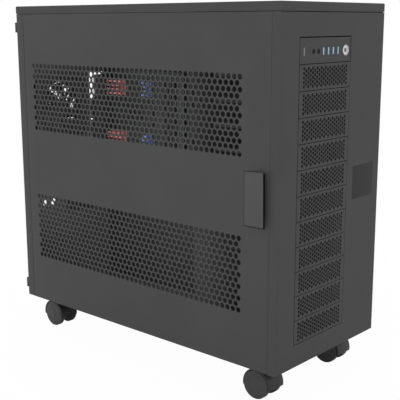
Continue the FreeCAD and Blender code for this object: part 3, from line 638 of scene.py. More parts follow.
# %% Door skin
SHEET = 2.0
DOOR_BEND = 0.4
PULL_TAIL = 14.5
PULL_RUN = 42.0
PULL_REAR_DROP = 3.0
PULL_TOP_DROP = 2.0
PULL_SHIFT_TOP = 1.3
PULL_SHIFT_LOW = 2.7
WINDOW_GAP = 0.15
WINDOW_RISE = 1.3
WINDOW_DROP = 1.0
WINDOW_LIFT = -2.6
WINDOW_LIP = 3.4
STIFFENER = 10.0
STIFFENER_INSET = 4.2
STIFFENER_FRONT = 3.2
STIFFENER_REAR = 19.2


def pull_window():
    low, high = span("door_handle")
    cup_low, _ = span("handle_cup")
    front = cup_low.y + WINDOW_LIP
    rear = high.y - PULL_TAIL + WINDOW_GAP
    top = high.z - PULL_TOP_DROP + WINDOW_RISE
    bottom = low.z - PULL_REAR_DROP - WINDOW_DROP
    return [(-rear, bottom), (-(low.y + PULL_RUN), bottom),
            (PULL_SHIFT_LOW - front, low.z + WINDOW_LIFT), (PULL_SHIFT_TOP - front, top), (-rear, top)]


def make_door():
    low, high = span("left_door")
    door = Piece("door_skin")
    edge = border(-high.y, -low.y, low.z, high.z)
    add_sheet(door, PANEL, DOOR_WALL, edge, door_holes + [pull_window()], SHEET, bend=DOOR_BEND)
    front = low.y + STIFFENER_FRONT
    rear = high.y - STIFFENER_REAR
    bottom = low.z + STIFFENER_INSET
    top = high.z - STIFFENER_INSET
    depth = SHEET + STIFFENER
    for level in (bottom, top - SHEET):
        add_block(door, PANEL, (SHEET, front, level), (depth, rear, level + SHEET))
    add_block(door, PANEL, (SHEET, front, bottom), (depth, front + SHEET, top))
    door.done("door", "left_door", slot="panel_grey")


make_door()

# %% [markdown]
# The pull is a wedge of folded sheet with a dark finger cup behind it. Its section is drawn as seen from
# above and run up the height of the pull. The real one isn't square to the door: its front edge leans
# forwards and its ends are cut on a slant, so its points are then shifted by their height and by how far
# forward they are. A cheek closes the top of the wedge.

# %% Pull
PULL_FRONT_LIFT = 1.4
PULL_TOP_RISE = 2.2
PULL_FOOT = 7.5
PULL_LIP = 0.6
PULL_SHEET = 2.115
PULL_ROUNDING = 0.9
INNER_FOLD = 1.0
CHEEK_INSET = 1.5
CHEEK_DROP = 0.2
CHEEK_ROUNDING = 0.2


def slant_pull(pull, low, high, foot):
    for point in pull.mesh.verts:
        spot = (point.co - CORNER) / MM
        forward = max(0.0, 1 - (spot.y - low.y) / (foot - low.y))
        above = (spot.z - low.z) / (high.z - low.z)
        bottom_shift = PULL_FRONT_LIFT * forward - PULL_REAR_DROP * (1 - forward)
        top_shift = PULL_TOP_RISE * forward - PULL_TOP_DROP * (1 - forward)
        point.co.z += (bottom_shift * (1 - above) + top_shift * above) * MM
        point.co.y -= (PULL_SHIFT_LOW * (1 - above) + PULL_SHIFT_TOP * above) * forward * MM


def make_pull():
    low, high = span("door_handle")
    front = low.y + PULL_LIP
    foot = front + PULL_RUN
    rear = high.y - PULL_TAIL
    inner_front = low.x + PULL_SHEET
    section = [(low.x, front), (0.0, foot), (0.0, rear), (SHEET, rear), (SHEET, high.y), (high.x, high.y),
               (high.x, foot), (SHEET, foot - INNER_FOLD), (inner_front, low.y)]
    pull = Piece("door_pull")
    add_profile(pull, PULL_LIT_COAT, PLAN, section, -low.z, -high.z, PULL_ROUNDING, steps=3)
    slant_pull(pull, low, high, foot)
    cheek = [(inner_front, low.y + CHEEK_INSET), (SHEET, foot - CHEEK_INSET), (SHEET, low.y + PULL_FOOT)]
    cheek_top = high.z - PULL_TOP_DROP - CHEEK_DROP
    add_profile(pull, PULL_LIT_COAT, PLAN, cheek, -cheek_top, SHEET - cheek_top, CHEEK_ROUNDING)
    pull.done("door", "door_handle", slot="handle_grey")


make_pull()

# %% [markdown]
# The narrow strip on the door's rear edge carries the hinge. It is a second sheet with a backing strip
# behind it, and two knuckles: short tubes that turn on the pins of the rear wall.

# %% Hinge strip
STRIP_FRONT = 21.0
STRIP_REAR = 0.5
STRIP_BEND = 0.7
BACKING_INSET = 10.0
BACKING_REAR = 4.0
KNUCKLE_X = 3.5
KNUCKLE_REACH = 4.0
KNUCKLE_LENGTH = 10.0
KNUCKLE_RADIUS = 3.5
KNUCKLE_CHAMFER = 0.4
KNUCKLE_BORE = 1.55


def knuckle_section():
    rim = KNUCKLE_RADIUS - KNUCKLE_CHAMFER
    return [(0.0, KNUCKLE_BORE), (0.0, rim), (KNUCKLE_CHAMFER, KNUCKLE_RADIUS),
            (KNUCKLE_LENGTH - KNUCKLE_CHAMFER, KNUCKLE_RADIUS), (KNUCKLE_LENGTH, rim),
            (KNUCKLE_LENGTH, KNUCKLE_BORE), (0.0, KNUCKLE_BORE)]


def make_hinge_strip():
    low, high = span("hinge_strip")
    front = CASE_DEPTH - STRIP_FRONT
    rear = CASE_DEPTH - STRIP_REAR
    pin = CASE_DEPTH + KNUCKLE_REACH
    strip = Piece("door_hinge_strip")
    add_sheet(strip, PANEL, DOOR_WALL, border(-rear, -front, low.z, high.z), [], SHEET, bend=STRIP_BEND)
    add_block(strip, PANEL, (SHEET, low.y, BACKING_INSET),
              (2 * SHEET, CASE_DEPTH - BACKING_REAR, high.z - BACKING_INSET))
    leaf_low, leaf_high = span("hinge_leaves")
    for level in (leaf_low.z + KNUCKLE_LENGTH, leaf_high.z - KNUCKLE_LENGTH):
        add_block(strip, PANEL, (0, rear, level), (SHEET, pin, level + KNUCKLE_LENGTH))
        add_turned(strip, PANEL, (KNUCKLE_X, pin, level), UP, knuckle_section(), steps=32)
    strip.done("door", "hinge_strip", slot="panel_grey")


make_hinge_strip()

# %% [markdown]
# The front bezel is a single folding: a flat face with a tall window for twelve drive bays, and 5 mm
# bends down both sides. The badge place beside the window is a shallow recess with a bare plate let into
# it. A dark bar behind the top edge fills the gap under the cover with painted shade.

# %% Front bezel
BEND_RADIUS = 5.0
SIDE_LEAN = 0.2
BOTTOM_LIFT = 0.3
BEZEL_LAP = 0.6
BAY_GAP = 0.9
BAY_GAP_LEFT = 1.6
BAY_GAP_RIGHT = 0.3
BADGE_SEAT = 0.2
SHADE_BAR_INSET = 3.0


def make_bezel():
    low, high = span("front_bezel")
    badge_low, badge_high = span("badge_plate")
    first, _ = span("bay_cover_01")
    _, last = span("io_faceplate")
    bay = window_of(first.x - BAY_GAP_LEFT, last.x + BAY_GAP_RIGHT, first.z - BAY_GAP, last.z + BAY_GAP)
    left, right = badge_low.x - BADGE_SEAT, badge_high.x + BADGE_SEAT
    bottom, top = badge_low.z - BADGE_SEAT, badge_high.z + BADGE_SEAT
    bezel = Piece("front_shell")
    edge = border(low.x, high.x, low.z + BOTTOM_LIFT, high.z, lean=SIDE_LEAN)
    add_sheet(bezel, FRONT_LIT_COAT, FRONT_WALL, edge, [bay, window_of(left, right, bottom, top)], SHEET,
              bend=BEND_RADIUS, fold=high.y + BEZEL_LAP, steps=8)
    add_block(bezel, FRONT_LIT_COAT, (left, badge_high.y, bottom), (right, SHEET, top), radius=0)
    # a dark bar behind the top edge: painted shade in the gap under the top cover
    add_block(bezel, INNER_COAT, (SHADE_BAR_INSET, SHADE_BAR_INSET, high.z - 4 * SHADE_BAR_INSET),
              (high.x - SHADE_BAR_INSET, high.y - SHADE_BAR_INSET, high.z + SHADE_BAR_INSET), radius=0)
    bezel.done("chassis", "front_bezel", slot="panel_grey")


def make_badge():
    low, high = span("badge_plate")
    plate = Piece("badge_blank")
    add_block(plate, BADGE, low, high, radius=0.25)
    plate.done("chassis", "badge_plate", slot="badge_grey")


make_bezel()
make_badge()

# %% [markdown]
# The top cover is a shallow cap over everything: one sheet with a 15 mm rim folded down all round and the
# same round front corners as the bezel. Its border is drawn with two arcs, and the fold follows them.

# %% Top cover
ROOF_BEND = 2.0


def make_top():
    low, high = span("top_cover")
    top = Piece("roof_cap")
    edge = border(low.x, high.x, low.y, high.y, front_radius=BEND_RADIUS)
    add_sheet(top, FRONT_LIT_COAT, ROOF, edge, [], SHEET, bend=ROOF_BEND, fold=high.z - low.z)
    top.done("chassis", "top_cover", slot="panel_grey")


make_top()

# %% [markdown]
# Each of the eleven bay covers is a small sheet with its own mesh, punched straight into the metal, and
# two side returns that push in between the rails. The mesh is a honeycomb layout of round holes in
# upright columns: every second column is half a step higher and has one hole less.

# %% Bay covers
BAY_COVERS = 11
MESH_PITCH = 7.2
MESH_COLUMNS = 21
MESH_ROWS = 5
MESH_RADIUS = 3.0
MESH_SIDES = 10
COVER_GAP = 0.4
COVER_SLIT = 0.1
RETURN_SHEET = 1.5
RETURN_INSET = 3.0


def mesh_holes(middle_x, middle_z):
    column_pitch = MESH_PITCH * math.sqrt(3) / 2
    holes = []
    for column in range(MESH_COLUMNS):
        rows = MESH_ROWS - column % 2
        x = middle_x + (column - (MESH_COLUMNS - 1) / 2) * column_pitch
        for row in range(rows):
            z = middle_z + (row - (rows - 1) / 2) * MESH_PITCH
            holes.append(ring_of(x, z, MESH_RADIUS, MESH_SIDES))
    return holes


def add_returns(piece, low, high):
    for side in (low.x, high.x - RETURN_SHEET):
        add_block(piece, FRONT_LIT_COAT, (side, SHEET, low.z + RETURN_INSET),
                  (side + RETURN_SHEET, high.y, high.z - RETURN_INSET), radius=0.2)


def make_cover(number):
    node = "bay_cover_%02d" % number
    low, high = span(node)
    holes = mesh_holes((low.x + high.x) / 2, (low.z + high.z) / 2)
    cover = Piece("mesh_cover_%02d" % number)
    edge = border(low.x + COVER_GAP, high.x - COVER_GAP, low.z + COVER_SLIT, high.z - COVER_SLIT)
    add_sheet(cover, FRONT_LIT_COAT, FRONT_WALL, edge, holes, SHEET, steps=3)
    add_returns(cover, low, high)
    cover.done("chassis", node, slot="panel_grey")


for number in range(1, BAY_COVERS + 1):
    make_cover(number)

# %% [markdown]
# The top bay holds the ports. Its plate is a sheet like the covers, set a little deeper and punched for
# each port: a light slot, a reset key, two round jacks, four upright sockets and the power button.

# %% Port plate
JACK_PLACES = (91.0, 105.2)
USB_PLACES = (119.0, 133.4, 147.8, 162.2)
POWER_PLACE = 186.0
RING_RADIUS = 9.9
RING_SIDES = 48
HOLE_CLEARANCE = 0.3
SNAP_FIT = 0.1
JACK_OPENING = 4.3
JACK_SIDES = 24
USB_OPENING = 3.5
PLATE_DEPTH = 0.6
PLATE_GAP = 0.8
PLATE_BEND = 0.5
usb_low, usb_high = span("usb_ports")
PORT_LEVEL = (usb_low.z + usb_high.z) / 2


def snap_window(node):
    low, high = span(node)
    return window_of(low.x - SNAP_FIT, high.x + SNAP_FIT, low.z - SNAP_FIT, high.z + SNAP_FIT)


def make_port_plate():
    low, high = span("io_faceplate")
    holes = [snap_window("led_light_pipe"), snap_window("reset_button"),
             ring_of(POWER_PLACE, PORT_LEVEL, RING_RADIUS + HOLE_CLEARANCE, RING_SIDES)]
    for x in JACK_PLACES:
        holes.append(ring_of(x, PORT_LEVEL, JACK_OPENING, JACK_SIDES))
    for x in USB_PLACES:
        holes.append(window_of(x - USB_OPENING, x + USB_OPENING,
                               usb_low.z - HOLE_CLEARANCE, usb_high.z + HOLE_CLEARANCE))
    plate = Piece("port_plate")
    edge = border(low.x + PLATE_GAP, high.x - PLATE_GAP, low.z + COVER_SLIT, high.z - PLATE_GAP)
    add_sheet(plate, FRONT_LIT_COAT, wall(at(0, PLATE_DEPTH, 0), ACROSS, UP), edge, holes, SHEET - PLATE_DEPTH,
              bend=PLATE_BEND, steps=3)
    add_returns(plate, low, high)
    plate.done("chassis", "io_faceplate", slot="panel_grey")


make_port_plate()

# %% [markdown]
# A socket is a thin shell with a tongue inside, so each is a punched sheet as deep as the socket, a floor
# that closes it and a coloured block for the tongue. A jack is turned: a rounded lip, a funnel and a
# narrow bore, in a square body.

# %% Front sockets
SHELL_HALF = 3.2
SHELL_WALL = 0.6
SHELL_EDGE = 0.3
TONGUE_EDGE = 0.1
FLOOR_INSET = 0.8
FLOOR_FRONT = 13.0
FLOOR_REAR = 14.5
TONGUE_LEFT = 1.5
TONGUE_RIGHT = 1.9
TONGUE_INSET = 0.9
TONGUE_FRONT = 0.4
TONGUE_REAR = 14.0
JACK_LIP = 0.25
JACK_BORE = [(0, 4.0), (-JACK_LIP, 3.8), (-JACK_LIP, 3.3), (1.2, 1.8), (14.0, 1.8), (14.0, 0)]
JACK_COLLAR = [(0, 4.0), (2.0, 4.0), (2.0, 2.5)]
JACK_BODY_HALF = 4.5
JACK_BODY_FRONT = 2.3


def make_usb_sockets():
    usb = Piece("usb_sockets")
    front = wall(at(0, usb_low.y, 0), ACROSS, UP)
    low, high = usb_low.z, usb_high.z
    inner_half = SHELL_HALF - SHELL_WALL
    floor_half = SHELL_HALF - FLOOR_INSET
    for x in USB_PLACES:
        edge = border(x - SHELL_HALF, x + SHELL_HALF, low, high)
        mouth = window_of(x - inner_half, x + inner_half, low + SHELL_WALL, high - SHELL_WALL)
        add_sheet(usb, PORT_NAVY, front, edge, [mouth], usb_high.y - usb_low.y, bend=SHELL_EDGE, steps=2)
        add_block(usb, PORT_NAVY, (x - floor_half, FLOOR_FRONT, low + FLOOR_INSET),
                  (x + floor_half, FLOOR_REAR, high - FLOOR_INSET), TONGUE_EDGE)
        tongue = PORT_TEAL if x == USB_PLACES[-1] else PORT_BLUE
        add_block(usb, tongue, (x - TONGUE_LEFT, TONGUE_FRONT, low + TONGUE_INSET),
                  (x + TONGUE_RIGHT, TONGUE_REAR, high - TONGUE_INSET), TONGUE_EDGE)
    usb.done("chassis", "usb_ports", slot="port_blue")


def make_jacks():
    low, high = span("audio_jacks")
    half = JACK_BODY_HALF
    jacks = Piece("audio_sockets")
    for x in JACK_PLACES:
        mouth = (x, low.y + JACK_LIP, PORT_LEVEL)
        add_turned(jacks, RAIL_COAT, mouth, BACK, JACK_BORE, steps=32)
        add_turned(jacks, BLACK_PLASTIC, mouth, BACK, JACK_COLLAR, steps=32)
        add_block(jacks, BLACK_PLASTIC, (x - half, JACK_BODY_FRONT, PORT_LEVEL - half),
                  (x + half, high.y, PORT_LEVEL + half))
    jacks.done("chassis", "audio_jacks", slot="black_plastic")


make_usb_sockets()
make_jacks()

# %% [markdown]
# The power button is a turned cap with a bright rim and a darker centre, in a silver ring that a nut
# holds from behind. The rim and the ring have soft lips, because it is their highlights that make them
# read as metal. The reset key and the light slot are small softened blocks.

# %% Power button, reset key and light slot
RING_SEAT = 0.6
RING_INNER = 8.05
RING_STEP = 9.0
RING_LENGTH = 9.0
RING_LIP = [(RING_SEAT, RING_INNER), (0.15, 8.2), (0.0, 8.45), (0.1, 8.8), (RING_SEAT, 8.95),
            (RING_SEAT, RING_STEP)]
RING_TUBE = [(RING_SEAT, RING_STEP), (RING_SEAT, RING_RADIUS), (RING_LENGTH, RING_RADIUS),
             (RING_LENGTH, RING_INNER), (RING_SEAT, RING_INNER)]
RING_NUT = [(2.0, RING_RADIUS), (2.0, 13.0), (3.5, 13.0), (3.5, RING_RADIUS)]
NUT_SIDES = 6
CAP_RADIUS = 8.0
CAP_RIM = [(0.5, 3.9), (0.15, 4.3), (0.0, 6.0), (0.1, 7.6), (0.6, CAP_RADIUS)]
CAP_CENTRE = [(0.5, 3.9), (0.35, 2.0), (0.3, 0)]


def make_power_ring():
    middle = (POWER_PLACE, 0, PORT_LEVEL)
    ring = Piece("power_ring")
    add_turned(ring, SILVER, middle, BACK, RING_LIP, steps=64)
    add_turned(ring, FRONT_LIT_COAT, middle, BACK, RING_TUBE, steps=64)
    add_turned(ring, STEEL, middle, BACK, RING_NUT, steps=NUT_SIDES)
    ring.done("chassis", "button_ring", slot="silver_ring")


def make_power_cap():
    low, high = span("power_button")
    length = high.y - low.y
    middle = (POWER_PLACE, low.y, PORT_LEVEL)
    cap = Piece("power_cap")
    add_turned(cap, SILVER, middle, BACK, CAP_RIM + [(length, CAP_RADIUS), (length, 0)])
    add_turned(cap, BUTTON, middle, BACK, CAP_CENTRE)
    cap.done("power_button", "power_button", slot="button_grey")


def make_reset_key():
    key = Piece("reset_key")
    add_block(key, BLACK_PLASTIC, *span("reset_button"), radius=0.5, steps=3)
    key.done("reset_button", "reset_button", slot="black_plastic")


def make_light_slot():
    pipe = Piece("light_slot")
    add_block(pipe, PALE_PLASTIC, *span("led_light_pipe"), radius=0.4, steps=3)
    pipe.done("chassis", "led_light_pipe", slot="light_pipe")


make_power_ring()
make_power_cap()
make_reset_key()
make_light_slot()

# %% [markdown]
# A twin-wheel caster is moulded nylon: a hood over two wheels with smooth domed caps. The wheels are
# turned from one section with a tread, a fine rim line and a low dome, so every wheel is the same shape.

# %% Wheels
HUB_FACE = 7.5
TREAD_FACE = 11.35
WHEEL_FACE = 21.65
AXLE_BORE = 3.05
HUB_RADIUS = 9.0
WHEEL_RADIUS = 26.0
HUB = [(HUB_FACE, AXLE_BORE), (HUB_FACE, HUB_RADIUS), (TREAD_FACE, HUB_RADIUS)]
TREAD = [(TREAD_FACE, WHEEL_RADIUS - 0.9), (TREAD_FACE + 0.7, WHEEL_RADIUS),
         (WHEEL_FACE - 1.4, WHEEL_RADIUS), (WHEEL_FACE - 0.7, WHEEL_RADIUS - 0.3),
         (WHEEL_FACE - 0.3, WHEEL_RADIUS - 1.0), (WHEEL_FACE - 0.3, WHEEL_RADIUS - 1.9)]
RIM_LINE = [(WHEEL_FACE - 0.6, WHEEL_RADIUS - 2.4), (WHEEL_FACE - 0.6, WHEEL_RADIUS - 2.8)]
DOME = [(WHEEL_FACE - 0.3, WHEEL_RADIUS - 3.4), (WHEEL_FACE - 0.1, 12.7), (WHEEL_FACE - 0.25, 12.2),
        (WHEEL_FACE - 0.25, 11.8), (WHEEL_FACE, 11.3), (WHEEL_FACE, 0)]


def make_wheel(corner, side, axle, sign):
    node = "wheel_%s_%s" % (corner, side)
    wheel = Piece("roller_%s_%s" % (corner, side))
    add_turned(wheel, WHEEL_PLASTIC, axle, ACROSS * sign, HUB + TREAD + RIM_LINE + DOME, steps=64)
    wheel.done(node, node, slot="wheel_black")


print("wheel diameter in mm:", 2 * WHEEL_RADIUS)

# %% [markdown]
# The hood is a thick arc drawn across both wheels. Its inside runs round the axle, so that the slit above
# the wheel is even, and its outside is set a little towards the stem. Both are arcs over the top, so one
# helper gives their points, and the inner one is taken backwards to close the outline.

# %% Caster hood outline
HOOD_SHIFT = 1.5
HOOD_INNER = 26.4
HOOD_OUTER = 29.3
HOOD_TIP = 5.0
HOOD_DROP = 6.5
HOOD_STEPS = 28


def hood_arc(centre, radius, drop):
    """An arc over the top, ended at this drop below the axle on both sides."""
    droop = math.asin(drop / radius)
    points = []
    for step in range(HOOD_STEPS + 1):
        angle = -droop + (math.pi + 2 * droop) * step / HOOD_STEPS
        points.append((centre + radius * math.cos(angle), radius * math.sin(angle)))
    return points


def hood_outline(axle):
    inner = hood_arc(axle, HOOD_INNER, HOOD_DROP)
    return hood_arc(0, HOOD_OUTER, HOOD_TIP) + inner[::-1]


print("slit above the wheel in mm:", round(HOOD_INNER - WHEEL_RADIUS, 2))

# %% [markdown]
# Under the hood a web in the middle holds the axle, and a collar and a steel stem join it to the case.
# Stem and axle are apart, which is what lets a caster trail. The front casters trail to the rear and the
# rear ones to the front. Hood, web, collar, stem and axle swivel together, so they are one piece, and the
# wheels two.

# %% Casters
CASTER_TRAIL = 18.0
HOOD_ROUNDING = 0.6
WEB_HALF = 7.0
WEB_REACH = 9
WEB_ROUNDING = 1.5
STEM_FOOT = -10.0
COLLAR_TOP = 7.45
STEM_RADIUS = 5.0
COLLAR = [(0, 0), (0, 8.2), (0.8, 9.0), (COLLAR_TOP, 9.0), (COLLAR_TOP, STEM_RADIUS), (COLLAR_TOP, 0)]
STEM = [(COLLAR_TOP, 0), (COLLAR_TOP, STEM_RADIUS), (24.0, STEM_RADIUS), (24.0, 0)]
AXLE = [(-19, 0), (-19, 3.0), (19, 3.0), (19, 0)]
CORNERS = ("front_left", "front_right", "rear_left", "rear_right")


def make_hood(corner, x, axle_y, axle_z):
    low, high = span("caster_fork_" + corner)
    stem_y = axle_y - CASTER_TRAIL if corner.startswith("front") else axle_y + CASTER_TRAIL
    hood_y = axle_y + math.copysign(HOOD_SHIFT, stem_y - axle_y)
    half = (high.x - low.x) / 2
    outline = hood_outline(hood_y - axle_y)
    fork = Piece("caster_hood_" + corner)
    hood_wall = wall(at(x, hood_y, axle_z), -BACK, UP)
    add_profile(fork, HOOD_PLASTIC, hood_wall, outline, -half, half, HOOD_ROUNDING, steps=3)
    add_block(fork, HOOD_PLASTIC, (x - WEB_HALF, min(stem_y, axle_y) - WEB_REACH, axle_z - WEB_REACH),
              (x + WEB_HALF, max(stem_y, axle_y) + WEB_REACH, STEM_FOOT), WEB_ROUNDING, steps=3)
    add_turned(fork, HOOD_PLASTIC, (x, stem_y, STEM_FOOT), UP, COLLAR, steps=40)
    add_turned(fork, STEEL, (x, stem_y, STEM_FOOT), UP, STEM, steps=32)
    add_turned(fork, STEEL, (x, axle_y, axle_z), ACROSS, AXLE, steps=24)
    fork.done("caster_" + corner, "caster_fork_" + corner, slot="black_plastic")


def make_caster(corner):
    low, high = span("caster_fork_" + corner)
    wheel_low, wheel_high = span("wheel_%s_outer" % corner)
    x = (low.x + high.x) / 2
    axle_y = (wheel_low.y + wheel_high.y) / 2
    axle_z = (wheel_low.z + wheel_high.z) / 2
    make_hood(corner, x, axle_y, axle_z)
    outward = -1 if corner.endswith("left") else 1
    for side, sign in (("outer", outward), ("inner", -outward)):
        make_wheel(corner, side, (x, axle_y, axle_z), sign)


for corner in CORNERS:
    make_caster(corner)

# %% [markdown]
# The right panel is a plain sheet that slides to the rear, with a flange that three knurled thumbscrews
# hold. A knurl is a ring of fine ridges for the fingers, so the turned head moves every second point
# inwards.

# %% Right panel
PANEL_BEND = 0.7
FLANGE_GAP = 0.05
SCREW_INSET = 7.0
KNURL = 0.35
HEAD_DISH = 0.6
SCREW_SHANK = [(-9.5, 0), (-9.5, 1.6), (-9.1, 2.0), (0, 2.0)]


def screw_places():
    """The screws' x, and their three levels."""
    low, high = span("panel_thumbscrews")
    return (low.x + high.x) / 2, (low.z + SCREW_INSET, (low.z + high.z) / 2, high.z - SCREW_INSET)


def make_right_panel():
    low, high = span("right_panel")
    panel = Piece("right_skin")
    add_sheet(panel, PANEL, RIGHT_WALL, border(low.y, high.y, low.z, high.z), [], SHEET, bend=PANEL_BEND)
    add_block(panel, PANEL, (low.x, CASE_DEPTH + FLANGE_GAP, low.z), (high.x - SHEET, high.y, high.z))
    panel.done("side_panel", "right_panel", slot="panel_grey")


def make_thumbscrews():
    seat = span("right_panel")[1].y
    head = span("panel_thumbscrews")[1].y - seat
    grip = [(0, 0), (0, 6.2), (0.5, 6.6), (1.0, 7.0), (head - 0.9, 7.0), (head - 0.3, 6.5), (head, 5.6)]
    dish = [(head, 5.3), (head - HEAD_DISH, 4.8), (head - HEAD_DISH, 0)]
    screws = Piece("knurled_screws")
    x, levels = screw_places()
    for level in levels:
        add_turned(screws, BLACK_PLASTIC, (x, seat, level), BACK, grip, steps=64, knurl=KNURL)
        add_turned(screws, BLACK_PLASTIC, (x, seat, level), BACK, dish)
        add_turned(screws, STEEL, (x, seat, level), BACK, SCREW_SHANK, steps=24)
    screws.done("side_panel", "panel_thumbscrews", slot="black_metal")


make_right_panel()
make_thumbscrews()

# %% [markdown]
# The rear wall is never seen in the photo, but it is what a builder touches most. Its fan grille is
# punched as a honeycomb inside a circle, with four screw holes round it, and two larger holes let hoses
# through. They are all plain rings, so one list collects them.

# %% Fan grille and hose holes
HEX_SIDES = 6
HEX_TURN = math.pi / HEX_SIDES
SCREW_SIDES = 16
FAN_HEX = 4.3
FAN_HEX_PITCH = 8.6
FAN_REACH = 53.0
FAN_SCREW = 52.5
FAN_SCREW_HOLE = 2.2
HOSE_HOLES = (54.0, 75.0)
HOSE_LEVEL = 195.0
HOSE_HEX = 7.5


def fan_grille(fan_x, fan_z):
    """Six-sided holes on a staggered grid, kept inside the fan's circle."""
    holes = []
    row_pitch = FAN_HEX_PITCH * math.sqrt(3) / 2
    for row in range(int(2 * FAN_REACH / row_pitch) + 1):
        for column in range(int(2 * FAN_REACH / FAN_HEX_PITCH) + 1):
            u = (column + 0.5 * (row % 2)) * FAN_HEX_PITCH - FAN_REACH
            v = row * row_pitch - FAN_REACH
            if math.hypot(u, v) < FAN_REACH:
                holes.append(ring_of(u - fan_x, v + fan_z, FAN_HEX, HEX_SIDES, turn=HEX_TURN))
    return holes


def round_holes():
    fan_low, fan_high = span("rear_fan_frame")
    fan_x = (fan_low.x + fan_high.x) / 2
    fan_z = (fan_low.z + fan_high.z) / 2
    holes = fan_grille(fan_x, fan_z)
    holes += [ring_of(-x, HOSE_LEVEL, HOSE_HEX, HEX_SIDES, turn=HEX_TURN) for x in HOSE_HOLES]
    for side_x in (-FAN_SCREW, FAN_SCREW):
        for side_z in (-FAN_SCREW, FAN_SCREW):
            holes.append(ring_of(side_x - fan_x, side_z + fan_z, FAN_SCREW_HOLE, SCREW_SIDES))
    return holes


rear_round_holes = round_holes()
print("round holes in the rear wall:", len(rear_round_holes))

# %% [markdown]
# The square openings are standard ones: the port window, seven card slots 20.32 mm apart and the power
# supply opening. Each takes its place from the node that it serves: board, slot covers or tray. The same
# sheet helper then punches all of it at once.

# %% Rear wall
PORT_WIDTH = 44.45
PORT_HEIGHT = 158.75
PORT_LAP = 2.45
PORT_DROP = 6.2
SLOTS = 7
SLOT_PITCH = 20.32
SLOT_HALF = 6.5
SLOT_LAP = 2.7
SUPPLY_WIDTH = 142.0
SUPPLY_HEIGHT = 78.0
SUPPLY_GAP = 14.0
SUPPLY_DROP = 13.0
PANEL_SCREW_HOLE = 2.3
cover_low, cover_high = span("slot_covers")
SLOT_LEVELS = [cover_low.z + SLOT_LAP + SLOT_HALF + slot * SLOT_PITCH for slot in range(SLOTS)]


def square_openings(wall_top):
    board_low, board_high = span("motherboard")
    window_top = board_high.z - PORT_DROP
    window_right = board_low.x + PORT_LAP
    openings = [window_of(-window_right, PORT_WIDTH - window_right, window_top - PORT_HEIGHT, window_top)]
    for level in SLOT_LEVELS:
        openings.append(window_of(-cover_high.x + SLOT_LAP, -cover_low.x - SLOT_LAP,
                                  level - SLOT_HALF, level + SLOT_HALF))
    supply_right = span("motherboard_tray")[0].x - SUPPLY_GAP
    supply_top = wall_top - SUPPLY_DROP
    openings.append(window_of(-supply_right, SUPPLY_WIDTH - supply_right,
                              supply_top - SUPPLY_HEIGHT, supply_top))
    return openings


def make_rear_wall():
    low, high = span("rear_panel")
    screw_x, screw_levels = screw_places()
    holes = rear_round_holes + square_openings(high.z)
    holes += [ring_of(-screw_x, level, PANEL_SCREW_HOLE, SCREW_SIDES) for level in screw_levels]
    rear = Piece("rear_wall")
    edge = border(-high.x, -low.x, low.z, high.z)
    add_sheet(rear, PANEL, REAR_WALL, edge, holes, SHEET, bend=DOOR_BEND, steps=3)
    rear.done("chassis", "rear_panel", slot="panel_grey")


make_rear_wall()

# %% [markdown]
# A blank cover closes each card slot. It is a thin strip with a pressed bead along its middle, which
# stiffens it and catches the light. The bead is a slot outline drawn a little way out of the strip.

# %% Card slot covers
BLANK_HALF = 9.2
BLANK_BEND = 0.3
BEAD_INSET = 16.0
BEAD_HALF = 2.2
BEAD_RISE = 0.8
BEAD_ROOT = 0.2


def make_slot_covers():
    covers = Piece("card_slot_covers")
    face = wall(at(0, cover_high.y, 0), -ACROSS, UP)
    left, right = -cover_high.x, -cover_low.x
    for level in SLOT_LEVELS:
        edge = border(left, right, level - BLANK_HALF, level + BLANK_HALF)
        add_sheet(covers, INNER_COAT, face, edge, [], cover_high.y - cover_low.y, bend=BLANK_BEND, steps=2)
        bead = lying_slot(left + BEAD_INSET, right - BEAD_INSET, level - BEAD_HALF, level + BEAD_HALF)
        add_profile(covers, INNER_COAT, face, bead, -BEAD_RISE, BEAD_ROOT)
    covers.done("chassis", "slot_covers", slot="black_metal")


make_slot_covers()

# %% [markdown]
# Behind the port window the board carries its sockets in plated shells. Each shell is a punched face with
# a dark floor behind it: round jacks in the lowest one, upright sockets in the next, and a network socket
# above two more in the third. A small plain block ends the row.

# %% Rear ports
SHELL_GAP = 3.0
SHELL_FACE = 8.0
SHELL_SIZES = ((50.0, 41.4), (44.9, 41.4), (46.5, 33.6), (3.6, 8.4))
USB_HALF = (2.6, 6.6)
LAN_HALF = (6.4, 7.0)
JACK_HOLE = 3.1
JACK_HOLE_SIDES = 16
SHELL_BEND = 0.4
JACK_SPOTS = [(along, up) for along in (11, 28) for up in (9, 25, 41)]
USB_SPOTS = [(along, up) for along in (10, 21, 32) for up in (12, 33)]
LOW_USB_SPOTS = [(10, 11), (21, 11)]
LAN_SPOT = (15, 31)


def socket_window(right, bottom, spot, half):
    u = spot[0] - right
    v = bottom + spot[1]
    return window_of(u - half[0], u + half[0], v - half[1], v + half[1])


def shell_holes(number, right, bottom):
    if number == 0:
        return [ring_of(x - right, bottom + z, JACK_HOLE, JACK_HOLE_SIDES) for x, z in JACK_SPOTS]
    if number == 1:
        return [socket_window(right, bottom, spot, USB_HALF) for spot in USB_SPOTS]
    if number == 2:
        pair = [socket_window(right, bottom, spot, USB_HALF) for spot in LOW_USB_SPOTS]
        return pair + [socket_window(right, bottom, LAN_SPOT, LAN_HALF)]
    return []


def make_rear_ports():
    low, high = span("rear_port_stack")
    face = wall(at(0, high.y, 0), -ACROSS, UP)
    floor = high.y - SHELL_FACE
    shells = Piece("rear_port_shells")
    bottom = low.z
    for number, (height, width) in enumerate(SHELL_SIZES):
        left = high.x - width
        top = bottom + height
        add_block(shells, BLACK_PLASTIC, (left, low.y, bottom), (high.x, floor, top + SHELL_GAP), SHELL_BEND)
        edge = border(-high.x, -left, bottom, top)
        holes = shell_holes(number, high.x, bottom)
        add_sheet(shells, STEEL, face, edge, holes, SHELL_FACE, bend=SHELL_BEND, steps=2)
        bottom = top + SHELL_GAP
    shells.done("chassis", "rear_port_stack", slot="bright_steel")


make_rear_ports()

